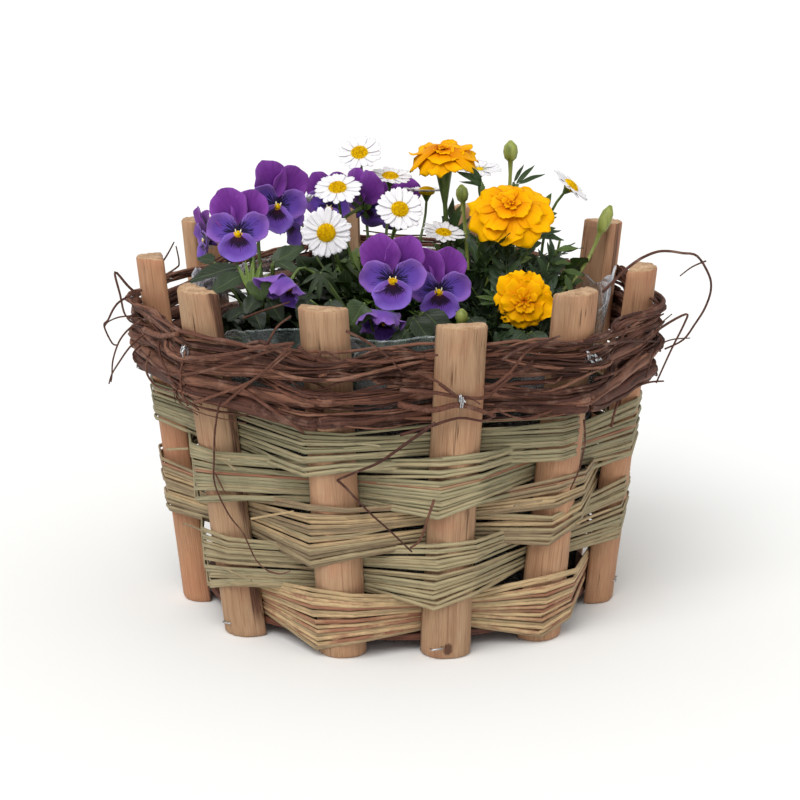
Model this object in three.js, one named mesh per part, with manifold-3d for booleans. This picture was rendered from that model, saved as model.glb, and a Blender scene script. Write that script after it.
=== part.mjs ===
// A flower basket. Ten split stakes stand round a thin base disc and are woven with five bands of
// rush and three layers of woody vine. A film liner inside holds the soil, and violas, daisies and
// marigolds grow in it. Millimetres, +Z up, the front towards -Y, the stakes' feet on z = 0.

import * as THREE from 'three';
import { LoftGeometry } from 'three/addons/geometries/LoftGeometry.js';
import { mergeVertices } from 'three/addons/utils/BufferGeometryUtils.js';
import Module from 'manifold-3d';

const wasm = await Module();
wasm.setup();
const { Vector3 } = THREE;

// Driving dimensions

const gap = 0.3; // between neighbours that touch
const blade = 0.8; // thickness of a petal or leaf

const stakeHeight = 215;
const ringFoot = 128; // radius to the middle of a stake at its foot
const ringHead = 152; // and at its head
const stakeWidth = 29;
const stakeDepth = 16;

// Bearings in degrees from the front towards +X, and how far each head stands above the mean
const stakes = [
  { foot: -80.7, head: -82.4, extra: 2 },
  { foot: -47.7, head: -51.6, extra: -1 },
  { foot: -15.6, head: -16.7, extra: 0 },
  { foot: 13.3, head: 14.5, extra: -10 },
  { foot: 42.9, head: 43.8, extra: 1 },
  { foot: 79.2, head: 76.3, extra: -1 },
  { foot: 119.5, head: 119.1, extra: 4 },
  { foot: 160, head: 160, extra: 0 },
  { foot: 196, head: 196, extra: 0 },
  { foot: 237.5, head: 238, extra: 4 },
];

const base = { radius: 120.5, bottom: 7, thickness: 4 };

// A rush band's height at its middle, and half its height where it passes outside a stake, midway
// between two stakes and inside a stake. It starts at stake `first`; way says, stake by stake,
// whether it passes outside (o) or inside (i). An open band ends inside or on its last stake.
const bandThickness = 3.2;
const bandStrands = 3;
const bands = [
  { middle: 24.5, outside: 19.5, midway: 10, inside: 8, lean: 0, first: 2, way: 'ioioioioi', open: true },
  { middle: 53, outside: 19, midway: 10, inside: 10, lean: 8, first: 1, way: 'ioioioioio' },
  { middle: 81, outside: 20.5, midway: 11.5, inside: 10, lean: 7, first: 1, way: 'oioioioioi' },
  { middle: 107.5, outside: 18.5, midway: 10, inside: 10, lean: 5, first: 1, way: 'ioioioioio' },
  { middle: 129, outside: 13.5, midway: 8, inside: 8, lean: 2, first: 6, way: 'ioioioioio', open: true },
];

// Layers of vine. Each stem has its height, radius, and how far its height waves, and how often.
const vineWay = 'oooioooioi';
const vineLayers = {
  lower: [
    { height: 149.6, radius: 4.4, sides: 4, wave: 0.6, turns: 3, phase: 0 },
    { height: 159.4, radius: 4.6, sides: 4, wave: 1.4, turns: 4, phase: 2 },
    { height: 155.5, radius: 2.2, sides: 3, wave: 5.5, turns: 2, phase: 1 },
  ],
  middle: [
    { height: 169, radius: 2.7, sides: 3, wave: 0.9, turns: 5, phase: 1 },
    { height: 173.4, radius: 2.6, sides: 3, wave: 1.1, turns: 3, phase: 3 },
  ],
  upper: [
    { height: 180.4, radius: 2.7, sides: 3, wave: 0.9, turns: 3, phase: 2 },
    { height: 185.4, radius: 2.9, sides: 3, wave: 1.2, turns: 4, phase: 0.5 },
    { height: 190.6, radius: 2.4, sides: 3, wave: 2.4, turns: 3, phase: 4 },
  ],
};

// Twigs by layer. Each starts in a stem at a bearing and runs through its points; turned ones
// give bearing, reach past the ring, and height.
const twigs = {
  lower: [
    { stem: 1, from: -40, turned: [[-43, 13.4, 133], [-44, 13.6, 116], [-45, 13.6, 99], [-41, 13.6, 82],
      [-36, 13.6, 68], [-31, 13.6, 52]] },
    { stem: 1, from: 0, turned: [[-4, 12, 131], [-8, 14, 123], [-13, 14.4, 116], [-10, 14, 108],
      [-6, 13.6, 95], [2, 13.6, 77]] },
    { stem: 0, from: 44, turned: [[45, 15.5, 127], [44, 13.8, 110], [41, 13.6, 97]] },
  ],
  middle: [
    { stem: 0, from: -86, points: [[-168, -50, 158], [-172, -52, 150], [-173, -51, 138]] },
    { stem: 1, from: 69, points: [[160, -60, 153], [168, -62, 150]] },
  ],
  upper: [
    { stem: 1, from: -76, points: [[-163, -46, 186], [-169, -44, 213], [-161, -42, 203]] },
    { stem: 2, from: -80, points: [[-171, -30, 192], [-189, -30, 178], [-174, -30, 166]] },
    { stem: 0, from: -72, points: [[-166, -52, 171], [-175, -50, 151]] },
    { stem: 2, from: -98, points: [[-150, 20, 200], [-141, 25, 217]] },
    { stem: 1, from: -37, points: [[-86, -132, 181], [-70, -143, 195]] },
    { stem: 2, from: 58, points: [[127, -78, 205], [143, -64, 225], [161, -48, 226], [180, -30, 219],
      [191, -12, 194], [182, -10, 175], [171, -18, 166]] },
    { stem: 0, from: 68, points: [[159, -60, 183], [174, -56, 190], [164, -58, 170]] },
    { stem: 1, from: 172, points: [[22, 160, 189], [8, 156, 204]] },
  ],
};
const twigRadius = { root: 1.3, tip: 0.6 };

// The liner: its outer radius at each height, and the folds that raise its rim
const liner = {
  wall: 0.8,
  bottom: base.bottom + base.thickness + gap,
  floorRadius: 112.5,
  soilRadius: 124.5,
  rimRadius: 127,
  rim: 189,
};
const linerFolds = [
  { bearing: 90, width: 9, rise: 13 },
  { bearing: -22, width: 16, rise: 9 },
  { bearing: -95, width: 12, rise: 6 },
];
const roundSteps = 21;

const soil = { height: 152, mound: 5, holeDepth: 12 };

// Blooms: the eye's place, the bearing and tilt that it faces, its roll, size and curl. Curl is
// the bend of the petals per millimetre, forwards when it is above nought.
const violas = [
  { at: [-95, -45, 237], bearing: -3, tilt: 14, roll: 0, size: 0.98, curl: 0.008 },
  { at: [-73, -18, 248], bearing: 36, tilt: 8, roll: -12, size: 0.98, curl: 0.01 },
  { at: [-118, -4, 223], bearing: -82, tilt: -8, roll: 0, size: 0.9, curl: 0.012 },
  { at: [-68, 14, 231], bearing: 66, tilt: 10, roll: 0, size: 0.9, curl: 0.012 },
  { at: [-20, 22, 239], bearing: 140, tilt: 8, roll: 0, size: 0.88, curl: 0.016 },
  { at: [-3, -91, 219], bearing: 4, tilt: 12, roll: 0, size: 1.04, curl: 0.006 },
  { at: [24, -73, 208], bearing: 6, tilt: 12, roll: 0, size: 0.98, curl: 0.006 },
  { at: [-64, -84, 213], bearing: -18, tilt: -48, roll: 0, size: 0.86, curl: 0.055 },
  { at: [-9, -87, 194], bearing: -14, tilt: -66, roll: 0, size: 0.9, curl: 0.042 },
  { at: [-1, 82, 223], bearing: 186, tilt: 8, roll: 0, size: 0.82, curl: 0.014 },
  { at: [-43, 52, 232], bearing: -24, tilt: 6, roll: 0, size: 0.84, curl: 0.012 },
];
const daisies = [
  { at: [-43, -32, 234], bearing: 0, tilt: 16, size: 1.04, curl: 0.004 },
  { at: [-37, 8, 253], bearing: -6, tilt: 62, size: 1, curl: -0.01 },
  { at: [-24, 44, 268], bearing: -8, tilt: 54, size: 0.98, curl: 0.006 },
  { at: [1, -8, 243], bearing: 12, tilt: 42, size: 1, curl: 0.006 },
  { at: [-5, 48, 252], bearing: 20, tilt: 80, size: 0.98, curl: 0.01 },
  { at: [18, 58, 241], bearing: 170, tilt: 82, size: 0.94, curl: 0.01 },
  { at: [28, 20, 222], bearing: 30, tilt: 76, size: 0.94, curl: 0.012 },
  { at: [-61, 38, 236], bearing: 200, tilt: 78, size: 0.8, curl: 0.085, closed: true },
  { at: [108, 50, 246], bearing: 84, tilt: 48, size: 0.96, curl: 0.004 },
  { at: [52, 84, 250], bearing: 20, tilt: 82, size: 0.96, curl: 0.008, closed: true },
];
const marigolds = [
  { at: [28, 30, 270], bearing: -8, tilt: 76, size: 0.92, curl: -0.036 },
  { at: [68, -18, 246], bearing: 0, tilt: 56, size: 1.04, curl: -0.026 },
  { at: [74, -72, 202], bearing: 4, tilt: 14, size: 0.76, curl: -0.006 },
];

// Plants: where each crown stands, the reach and height of its leafy heart, its blooms, its
// closed buds as tip and foot, and its leaves
const plants = {
  viola_plant_left: { crown: [-78, -30], heart: [32, 34, 30], violas: [1, 2, 3, 4], leaves: 12, leaf: 'viola' },
  viola_plant_front: { crown: [-8, -72], heart: [42, 30, 24], violas: [6, 7, 8, 9], leaves: 12, leaf: 'viola' },
  viola_plant_back: { crown: [-36, 72], heart: [42, 34, 30], violas: [5, 10, 11], leaves: 12, leaf: 'viola' },
  daisy_plant_left: {
    crown: [-14, 4],
    heart: [30, 34, 34],
    daisies: [1, 2, 3, 4, 5, 6, 7, 8],
    leaves: 11,
    leaf: 'daisy',
  },
  daisy_plant_right: { crown: [92, 44], heart: [24, 30, 28], daisies: [9, 10], leaves: 8, leaf: 'daisy' },
  marigold_plant_back: {
    crown: [46, 12],
    heart: [24, 32, 36],
    marigolds: [1, 2],
    leaves: 9,
    leaf: 'marigold',
    buds: [
      { tip: [69, 18, 282], foot: [69, 18, 270], radius: 3.8 },
      { tip: [39, 20, 253], foot: [40, 20, 242], radius: 3.4 },
    ],
  },
  marigold_plant_front: {
    crown: [66, -50],
    heart: [30, 26, 26],
    marigolds: [3],
    leaves: 9,
    leaf: 'marigold',
    buds: [
      { tip: [134, 54, 233], foot: [127, 50, 216], radius: 4.2 },
      { tip: [37, -97, 203], foot: [37, -96, 194], radius: 3.8 },
    ],
  },
};
const crownRadius = 4.5;

// Colours of the pieces

const finishes = {
  board: { color: 0x4a3024, roughness: 0.8 },
  stake: { color: 0xb98a62, roughness: 0.8 },
  rush: { color: 0xa69a6c, roughness: 0.85 },
  straw: { color: 0xc2a06a, roughness: 0.85 },
  vine: { color: 0x5c382c, roughness: 0.85 },
  film: { color: 0xb9c0c0, roughness: 0.2 },
  soil: { color: 0x2a1f18, roughness: 1 },
  leaf: { color: 0x35502a, roughness: 0.65 },
  viola: { color: 0x5b3796, roughness: 0.6 },
  rays: { color: 0xf2f1ec, roughness: 0.6 },
  disc: { color: 0xe0b400, roughness: 0.8 },
  marigold: { color: 0xfdb913, roughness: 0.6 },
};

// Measures and places

const radians = THREE.MathUtils.degToRad;
const lerp = THREE.MathUtils.lerp;
const fullTurn = 2 * Math.PI;
const goldenAngle = 137.5;

// A steady draw between 0 and 1 for each number
function draw(number) {
  const value = Math.sin(number * 12.9898) * 43758.5453;
  return value - Math.floor(value);
}

function ringRadius(z) {
  return lerp(ringFoot, ringHead, z / stakeHeight);
}

function turnedPoint(bearing, radius, z) {
  const angle = radians(bearing);
  return new Vector3(radius * Math.sin(angle), -radius * Math.cos(angle), z);
}

// A place beside a stake: along the ring and outward from the stake's middle, at a height
function besideStake(number, along, outward, z) {
  const { foot, head } = stakes[number - 1];
  const bearing = lerp(foot, head, z / stakeHeight);
  const middle = turnedPoint(bearing, ringRadius(z) + outward, z);
  return middle.add(turnedPoint(bearing + 90, along, 0));
}

// Solids

// The solid of a closed geometry, turned inside in where its faces point inwards
function solidOf(geometry) {
  const bare = new THREE.BufferGeometry();
  bare.setAttribute('position', geometry.getAttribute('position'));
  bare.setIndex(geometry.getIndex());
  const { index, attributes } = mergeVertices(bare, 1e-4);
  const corners = [];
  for (let i = 0; i < index.count; i += 3) {
    const [a, b, c] = index.array.slice(i, i + 3);
    if (a !== b && b !== c && c !== a) corners.push([a, b, c]);
  }
  const build = (triangles) => new wasm.Manifold(new wasm.Mesh({
    numProp: 3,
    vertProperties: attributes.position.array,
    triVerts: new Uint32Array(triangles.flat()),
  }));
  const solid = build(corners);
  if (solid.volume() > 0) return solid;
  return build(corners.map(([a, b, c]) => [c, b, a]));
}

function geometryOf(solid) {
  const { vertProperties, triVerts } = solid.getMesh();
  const geometry = new THREE.BufferGeometry();
  geometry.setAttribute('position', new THREE.BufferAttribute(vertProperties, 3));
  geometry.setIndex(new THREE.BufferAttribute(triVerts, 1));
  geometry.computeVertexNormals();
  return geometry;
}

function fuse(solids) {
  return wasm.Manifold.union(solids);
}

// Moves every point of a geometry to where place(x, y, z) says
function reshape(geometry, place) {
  const points = geometry.getAttribute('position');
  for (let i = 0; i < points.count; i++) {
    points.setXYZ(i, ...place(points.getX(i), points.getY(i), points.getZ(i)));
  }
  return geometry;
}

// A tube of a few sides through points, with a radius at each; a loop closes on itself
function tube(points, radii, sides, loop = false) {
  const count = points.length;
  let normal = new Vector3();
  const sections = points.map((point, i) => {
    const before = points[loop ? (i + count - 1) % count : Math.max(i - 1, 0)];
    const after = points[loop ? (i + 1) % count : Math.min(i + 1, count - 1)];
    const along = after.clone().sub(before).normalize();
    if (loop || i === 0) {
      const upright = Math.abs(along.z) > 0.9 ? new Vector3(1, 0, 0) : new Vector3(0, 0, 1);
      normal = upright.addScaledVector(along, -upright.dot(along)).normalize();
    } else {
      normal = normal.clone().addScaledVector(along, -normal.dot(along)).normalize();
    }
    const side = along.clone().cross(normal);
    return Array.from({ length: sides }, (_, k) => {
      const angle = (k * fullTurn) / sides;
      return point.clone()
        .addScaledVector(normal, radii[i] * Math.cos(angle))
        .addScaledVector(side, radii[i] * Math.sin(angle));
    });
  });
  if (loop) sections.push(sections[0]);
  return solidOf(new LoftGeometry(sections, { closed: true, capStart: !loop, capEnd: !loop }));
}

// The basket

function baseDisc() {
  const disc = new THREE.CylinderGeometry(base.radius, base.radius, base.thickness, 28);
  return solidOf(disc.rotateX(Math.PI / 2).translate(0, 0, base.bottom + base.thickness / 2));
}

// A half-round stake: flat inside, round outside, its foot level and its head cut a little askew
function stake(number) {
  const arcPoints = 7;
  const length = stakeHeight + stakes[number - 1].extra;
  const skew = 0.12 * (draw(number) - 0.5);
  const levels = [0, 0.35, 0.7, 1];
  const sections = levels.map((level, row) => {
    const plump = 1 + (row ? 0.05 * (draw(number * 10 + row) - 0.5) : 0);
    return Array.from({ length: arcPoints }, (_, k) => {
      const angle = (k * Math.PI) / (arcPoints - 1);
      const along = (-stakeWidth / 2) * plump * Math.cos(angle);
      const outward = stakeDepth * Math.sin(angle) - stakeDepth / 2;
      return besideStake(number, along, outward, length * level + skew * along * level);
    });
  });
  return solidOf(new LoftGeometry(sections, { closed: true, capStart: true, capEnd: true }));
}

// A rush band winds outside one stake and inside the next. It is tallest outside a stake, where
// the strands spread, and its outer face is ridged with its strands.
function rushBand(band) {
  const clear = stakeDepth / 2 + gap + bandThickness / 2;
  const flank = { outside: 10, inside: 12, drop: 1.8 };
  const stops = [];
  const addStop = (number, along, outward, half) => stops.push({
    half,
    at: (depth, z) => besideStake(number, along, outward + depth, z),
  });
  [...band.way].forEach((letter, k) => {
    const number = ((band.first - 1 + k) % stakes.length) + 1;
    const atEnd = band.open && k === band.way.length - 1;
    if (letter === 'o') {
      addStop(number, -flank.outside, clear - flank.drop, band.outside);
      addStop(number, 0, clear, band.outside);
      if (!atEnd) addStop(number, flank.outside, clear - flank.drop, band.outside);
    } else {
      addStop(number, -flank.inside, -clear, band.inside);
      addStop(number, flank.inside, -clear, band.inside);
    }
  });
  const all = [];
  stops.forEach((stop, i) => {
    const next = stops[(i + 1) % stops.length];
    all.push(stop);
    const lastOfAll = i === stops.length - 1;
    if (stop.half === next.half || (lastOfAll && band.open)) return;
    all.push({ half: band.midway, at: (depth, z) => stop.at(depth, z).lerp(next.at(depth, z), 0.5) });
  });
  const valley = bandThickness / 2 - 0.9;
  const profile = [];
  for (let k = 0; k < 2 * bandStrands - 1; k++) {
    profile.push([1 - k / (bandStrands - 1), k % 2 ? valley : bandThickness / 2]);
  }
  profile.push([-1, -bandThickness / 2], [1, -bandThickness / 2]);
  const sections = all.map((stop) => {
    const lean = (band.lean * stop.at(0, band.middle).x) / ringHead;
    return profile.map(([level, depth]) => stop.at(depth, band.middle + lean + level * stop.half));
  });
  if (!band.open) sections.push(sections[0]);
  return solidOf(new LoftGeometry(sections, { closed: true, capStart: band.open, capEnd: band.open }));
}

// The middle line of a vine stem, with two points at each stake
function vineLine(stem) {
  const reach = stakeDepth / 2 + gap + stem.radius;
  const line = [...vineWay].flatMap((letter, k) => {
    const inside = letter === 'i';
    const half = inside ? 15 : 11;
    return [-half, half].map((along) => besideStake(k + 1, along, inside ? -reach : reach, stem.height));
  });
  for (const point of line) {
    point.z += stem.wave * Math.sin(stem.turns * Math.atan2(point.x, -point.y) + stem.phase);
  }
  return line;
}

function vineStem(stem) {
  const line = vineLine(stem);
  const radii = line.map((_, i) => stem.radius * (0.9 + 0.1 * Math.sin(i * stem.turns)));
  return tube(line, radii, stem.sides, true);
}

// The place on a stem's middle line at a bearing
function onVine(stem, bearing) {
  const line = vineLine(stem);
  const sight = turnedPoint(bearing, 1, 0);
  const beside = turnedPoint(bearing + 90, 1, 0);
  for (let i = 0; i < line.length; i++) {
    const start = line[i];
    const end = line[(i + 1) % line.length];
    const before = start.dot(beside);
    const after = end.dot(beside);
    if (before <= 0 && after > 0 && start.dot(sight) > 0) {
      return start.clone().lerp(end, before / (before - after));
    }
  }
  throw new Error(`no vine at bearing ${bearing}`);
}

// A twig starts at the middle line of a stem of its layer and thins towards its tip
function twig(layer, { stem, from, points, turned }) {
  const rest = points
    ? points.map((point) => new Vector3(...point))
    : turned.map(([bearing, reach, z]) => turnedPoint(bearing, ringRadius(z) + reach, z));
  const line = [onVine(layer[stem], from), ...rest];
  const radii = line.map((_, i) => lerp(twigRadius.root, twigRadius.tip, i / (line.length - 1)));
  return tube(line, radii, 3);
}

function vineLayer(name) {
  const layer = vineLayers[name];
  return fuse([...layer.map(vineStem), ...twigs[name].map((each) => twig(layer, each))]);
}

// How far the liner's rim stands above its mean height at a bearing
function rimRise(bearing) {
  const folds = linerFolds.map((fold) => {
    const away = ((bearing - fold.bearing + 540) % 360) - 180;
    return fold.rise * Math.exp(-((away / fold.width) ** 2));
  });
  return 3 * Math.sin(radians(3 * bearing + 40)) + 2 * Math.sin(radians(7 * bearing)) + Math.max(...folds);
}

// The film cup, one wall thick, its rim folded and raised here and there
function linerCup() {
  const { wall, bottom, floorRadius, soilRadius, rimRadius, rim } = liner;
  const outer = [[0, bottom], [floorRadius, bottom], [soilRadius, soil.height], [rimRadius, rim]];
  const inner = outer.map(([radius, z], i) => [Math.max(radius - wall, 0), i < 2 ? z + wall : z]).reverse();
  const profile = [...outer, ...inner].map(([radius, z]) => new THREE.Vector2(radius, z));
  const cup = new THREE.LatheGeometry(profile, roundSteps).rotateX(Math.PI / 2);
  return solidOf(reshape(cup, (x, y, z) => {
    if (z < rim - 1) return [x, y, z];
    const bearing = THREE.MathUtils.radToDeg(Math.atan2(x, -y));
    const crumple = 1 + 0.01 * Math.sin(radians(9 * bearing));
    return [x * crumple, y * crumple, z + rimRise(bearing)];
  }));
}

function soilSurface(x, y) {
  const share = (x * x + y * y) / (liner.soilRadius * liner.soilRadius);
  return soil.height + soil.mound * (1 - share);
}

// The soil fills the liner, mounded, with a plain hole for each crown
function soilFill() {
  const shrink = liner.wall + gap;
  const low = liner.bottom + liner.wall + gap;
  const edge = liner.soilRadius - shrink;
  const side = [[0, low], [liner.floorRadius - shrink, low]];
  const top = [1, 0.6, 0].map((share) => [edge * share, soilSurface(edge * share, 0)]);
  const points = [...side, ...top].map(([radius, z]) => new THREE.Vector2(radius, z));
  const fill = solidOf(new THREE.LatheGeometry(points, roundSteps).rotateX(Math.PI / 2));
  const depth = soil.holeDepth + gap;
  const holes = Object.values(plants).map(({ crown: [x, y] }) => {
    const hole = new THREE.CylinderGeometry(crownRadius + gap, crownRadius + gap, 2 * depth, 6);
    return solidOf(hole.rotateX(Math.PI / 2).translate(x, y, soilSurface(x, y)));
  });
  return fill.subtract(fuse(holes));
}

// Blooms, built facing +Z with their tops towards +Y

// Bends a point of a flat bloom towards its face, and keeps the thickness of its petals
function curled([x, y, z], curl) {
  const reach = Math.hypot(x, y);
  if (reach < 1e-6 || Math.abs(curl) < 1e-6) return [x, y, z];
  const radius = 1 / curl - z;
  const angle = reach * curl;
  const across = (radius * Math.sin(angle)) / reach;
  return [x * across, y * across, 1 / curl - radius * Math.cos(angle)];
}

// A thin plate with its triangles round a middle point, and an outline of [x, y] points
function petalPlate(outline) {
  const half = blade / 2;
  const middle = (z) => outline.map(() => new Vector3(0, 0, z));
  const face = (z) => outline.map(([x, y]) => new Vector3(x, y, z));
  return new LoftGeometry([middle(half), face(half), face(-half), middle(-half)]);
}

// A thin plate with an outline of [x, y] points
function cutPlate(outline, thickness = blade) {
  const shape = new THREE.Shape(outline.map(([x, y]) => new THREE.Vector2(x, y)));
  const cut = new THREE.ExtrudeGeometry(shape, { depth: thickness, bevelEnabled: false });
  return cut.translate(0, 0, -thickness / 2);
}

// The six-sided core that a bloom's petals meet in
function roundCore({ backRadius, frontRadius, low, high }) {
  const core = new THREE.CylinderGeometry(frontRadius, backRadius, high - low, 6).rotateX(Math.PI / 2);
  return solidOf(core.translate(0, 0, (high + low) / 2));
}

// The outline of a ring of petals: for each petal, points of [share of a step, share of the radius]
function petalRing(petals, radius, points) {
  const step = fullTurn / petals;
  return Array.from({ length: petals }, (_, k) => points.map(([turn, share]) => {
    const angle = (k + turn) * step;
    return [radius * share * Math.cos(angle), radius * share * Math.sin(angle)];
  })).flat();
}

// Two petals above, two beside and a broad one below, on a small throat
const violaPetals = [
  { x: -8, y: 11.6, wide: 11.6, high: 11.4, level: -2.9 },
  { x: 8, y: 11.6, wide: 11.6, high: 11.4, level: -1.8 },
  { x: -12.2, y: 0.6, wide: 10.8, high: 10, level: -0.4 },
  { x: 12.2, y: 0.6, wide: 10.8, high: 10, level: -0.4 },
  { x: 0, y: -10.6, wide: 13.4, high: 10.2, level: 1 },
];
const violaThroat = { backRadius: 6, frontRadius: 2.2, low: -4.2, high: 2.2 };

function violaBloom(curl) {
  const round = petalRing(6, 1, [[0, 1]]);
  const petals = violaPetals.map(({ x: middleX, y: middleY, wide, high, level }) => {
    const outline = round.map(([x, y]) => [middleX + wide * x, middleY + high * y]);
    return solidOf(reshape(cutPlate(outline), (x, y, z) => curled([x, y, level + z], curl)));
  });
  return fuse([...petals, roundCore(violaThroat)]);
}

const daisy = { petals: 12, radius: 15, discRadius: 4.9 };

function daisyRays(curl) {
  const outline = petalRing(daisy.petals, daisy.radius, [[0, 0.56], [0.24, 0.97], [0.76, 0.97]]);
  return solidOf(reshape(petalPlate(outline), (x, y, z) => curled([x, y, z], curl)));
}

function daisyDisc() {
  const low = blade / 2 + gap + 0.15;
  const profile = [[0, low], [daisy.discRadius, low], [daisy.discRadius * 0.72, low + 1.8], [0, low + 2.4]];
  const points = profile.map(([radius, z]) => new THREE.Vector2(radius, z));
  return solidOf(new THREE.LatheGeometry(points, 7).rotateX(Math.PI / 2));
}

// Three layers of broad petals on a core, each layer waved, and bent more the further out
const marigoldLayers = [
  { petals: 8, radius: 25, level: 0, bend: 1, wave: 1.3, points: [[0, 0.62], [0.25, 0.98], [0.75, 0.98]] },
  { petals: 6, radius: 18, level: 3, bend: 0.6, wave: 1, points: [[0, 0.62], [0.25, 1], [0.75, 1]] },
  { petals: 5, radius: 11.5, level: 5.6, bend: -0.6, wave: 0, points: [[0, 0.55], [0.5, 1]] },
];
const marigoldCore = { backRadius: 5, frontRadius: 3.6, low: -1, high: 7.4 };

function marigoldBloom(curl) {
  const layers = marigoldLayers.map(({ petals, radius, level, bend, wave, points }) => {
    const outline = petalRing(petals, radius, points);
    const notch = radius * points[0][1];
    const rest = level - curled([notch, 0, level], curl * bend)[2];
    return solidOf(reshape(cutPlate(outline), (x, y, z) => {
      const share = (x * x + y * y) / (radius * radius);
      const lift = wave * share * Math.cos(petals * Math.atan2(y, x));
      const [bentX, bentY, bentZ] = curled([x, y, z + level + lift], curl * bend);
      return [bentX, bentY, bentZ + rest];
    }));
  });
  return fuse([...layers, roundCore(marigoldCore)]);
}

// Turns a bloom's +Z to its bearing and tilt above the horizon, with its top kept upwards
function facing({ bearing, tilt, roll = 0 }) {
  const turn = new THREE.Matrix4().makeRotationZ(radians(bearing));
  turn.multiply(new THREE.Matrix4().makeRotationX(radians(90 - tilt)));
  return turn.multiply(new THREE.Matrix4().makeRotationZ(radians(roll)));
}

// Greenery

// Keeps the first shape that is clear of the others when it is made a little fatter
function firstClear(makers, others) {
  for (const make of makers) {
    const fat = make(gap);
    if (others.every((other) => fat.intersect(other).isEmpty())) return make(0);
  }
  return null;
}

// How a stalk swells below each kind of head: distance back from its end, and radius
const stalkEnds = {
  viola: { under: -violaThroat.low, radii: [[9, 1.1], [3.5, 2.4], [0, 2.6]], sides: 3 },
  daisy: { under: blade / 2 + 0.1, radii: [[5.5, 1.1], [2.4, 3.6], [0, 4]], sides: 4 },
  marigold: { under: -marigoldCore.low, radii: [[34, 2], [20, 3.4], [8, 5.2], [0, 4.4]], sides: 5 },
};

// A stalk rises from the heart, bows aside and runs straight into its head along the way it faces
function stalk(plant, end, forward, radii, sides, { aside, ease }, extra) {
  const start = new Vector3(...plant.crown, soil.height + soil.mound + plant.heart[2] * 0.3);
  const back = (point, distance) => point.clone().addScaledVector(forward, -distance);
  const neck = back(end, radii[0][0]);
  const rise = neck.distanceTo(start);
  const middle = start.clone().lerp(neck, 0.3).add(aside).setZ(start.z + rise * 0.3);
  const near = back(neck, rise * ease).addScaledVector(aside, 0.4);
  const curve = new THREE.CubicBezierCurve3(start, middle, near, neck);
  const bent = [0, 0.25, 0.5, 0.75].map((share) => ({ at: curve.getPointAt(share), radius: radii[0][1] }));
  const straight = radii.map(([distance, radius]) => ({ at: back(end, distance), radius }));
  const stops = [...bent, ...straight];
  return tube(stops.map((stop) => stop.at), stops.map((stop) => stop.radius + extra), sides);
}

function stalkTo(kind, plant, bloom, way, extra) {
  const { under, radii, sides } = stalkEnds[kind];
  const forward = new Vector3(0, 0, 1).applyMatrix4(facing(bloom));
  const end = new Vector3(...bloom.at).addScaledVector(forward, -under * bloom.size - gap);
  const scaled = radii.map(([distance, radius]) => [distance * bloom.size, radius * bloom.size]);
  return stalk(plant, end, forward, scaled, sides, way, extra);
}

function stalkToBud(plant, { tip, foot, radius }, way, extra) {
  const end = new Vector3(...tip);
  const forward = end.clone().sub(new Vector3(...foot));
  const length = forward.length();
  const radii = [[length + 5, 1.4], [length, 1.8], [length * 0.6, radius], [length * 0.25, radius * 0.9], [0, 1.2]];
  return stalk(plant, end, forward.normalize(), radii, 5, way, extra);
}

// Leaf outlines in shares of the length and of half the width, one side from the foot to the tip
const leafSides = {
  viola: [[0.24, 0.94], [0.52, 1], [0.82, 0.62]],
  daisy: [[0.34, 0.16], [0.5, 0.86], [0.6, 0.34], [0.8, 0.8]],
  marigold: [[0.34, 0.86], [0.3, 0.12], [0.68, 1], [0.62, 0.12]],
};
const leafSizes = {
  viola: { length: 32, half: 10, arch: 0.016 },
  daisy: { length: 32, half: 9.5, arch: 0.012 },
  marigold: { length: 40, half: 14, arch: 0.01 },
};

function leaf(kind, place, share, extra) {
  const { length, half, arch } = leafSizes[kind];
  const long = length * share + extra;
  const side = leafSides[kind].map(([x, y]) => [x * long, y * half * share + extra]);
  const other = side.map(([x, y]) => [x, -y]);
  const outline = [[0, 0], ...other, [long, 0], ...side.reverse()];
  const flat = reshape(cutPlate(outline, blade + 2 * extra), (x, y, z) => {
    const radius = 1 / arch + z;
    return [radius * Math.sin(x * arch), y, radius * Math.cos(x * arch) - 1 / arch];
  });
  return solidOf(flat.applyMatrix4(place));
}

// The makers of one leaf on a plant's heart: first its own place, then places round about
function leafMakers(plant, number, seed) {
  const spot = number / plant.leaves;
  const [reachX, reachY, reachZ] = plant.heart;
  const turns = [0, 14, -14, 28, -28, 42, -42];
  const lifts = [0, 16, 32];
  return lifts.flatMap((lift) => turns.map((turn) => (extra) => {
    const round = radians(number * goldenAngle + seed * 50 + turn);
    const up = radians(8 + 62 * spot);
    const lean = radians(10 + 45 * spot + 20 * (draw(seed * 40 + number) - 0.5) + lift);
    const roll = 0.6 * (draw(seed * 70 + number) - 0.5);
    const place = new THREE.Matrix4().makeTranslation(
      plant.crown[0] + 0.6 * reachX * Math.cos(up) * Math.cos(round),
      plant.crown[1] + 0.6 * reachY * Math.cos(up) * Math.sin(round),
      soil.height + soil.mound + 2 + 0.6 * reachZ * Math.sin(up),
    );
    place.multiply(new THREE.Matrix4().makeRotationZ(round));
    place.multiply(new THREE.Matrix4().makeRotationY(-lean));
    place.multiply(new THREE.Matrix4().makeRotationX(roll));
    return leaf(plant.leaf, place, 0.85 + 0.3 * draw(seed * 90 + number), extra);
  }));
}

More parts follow.
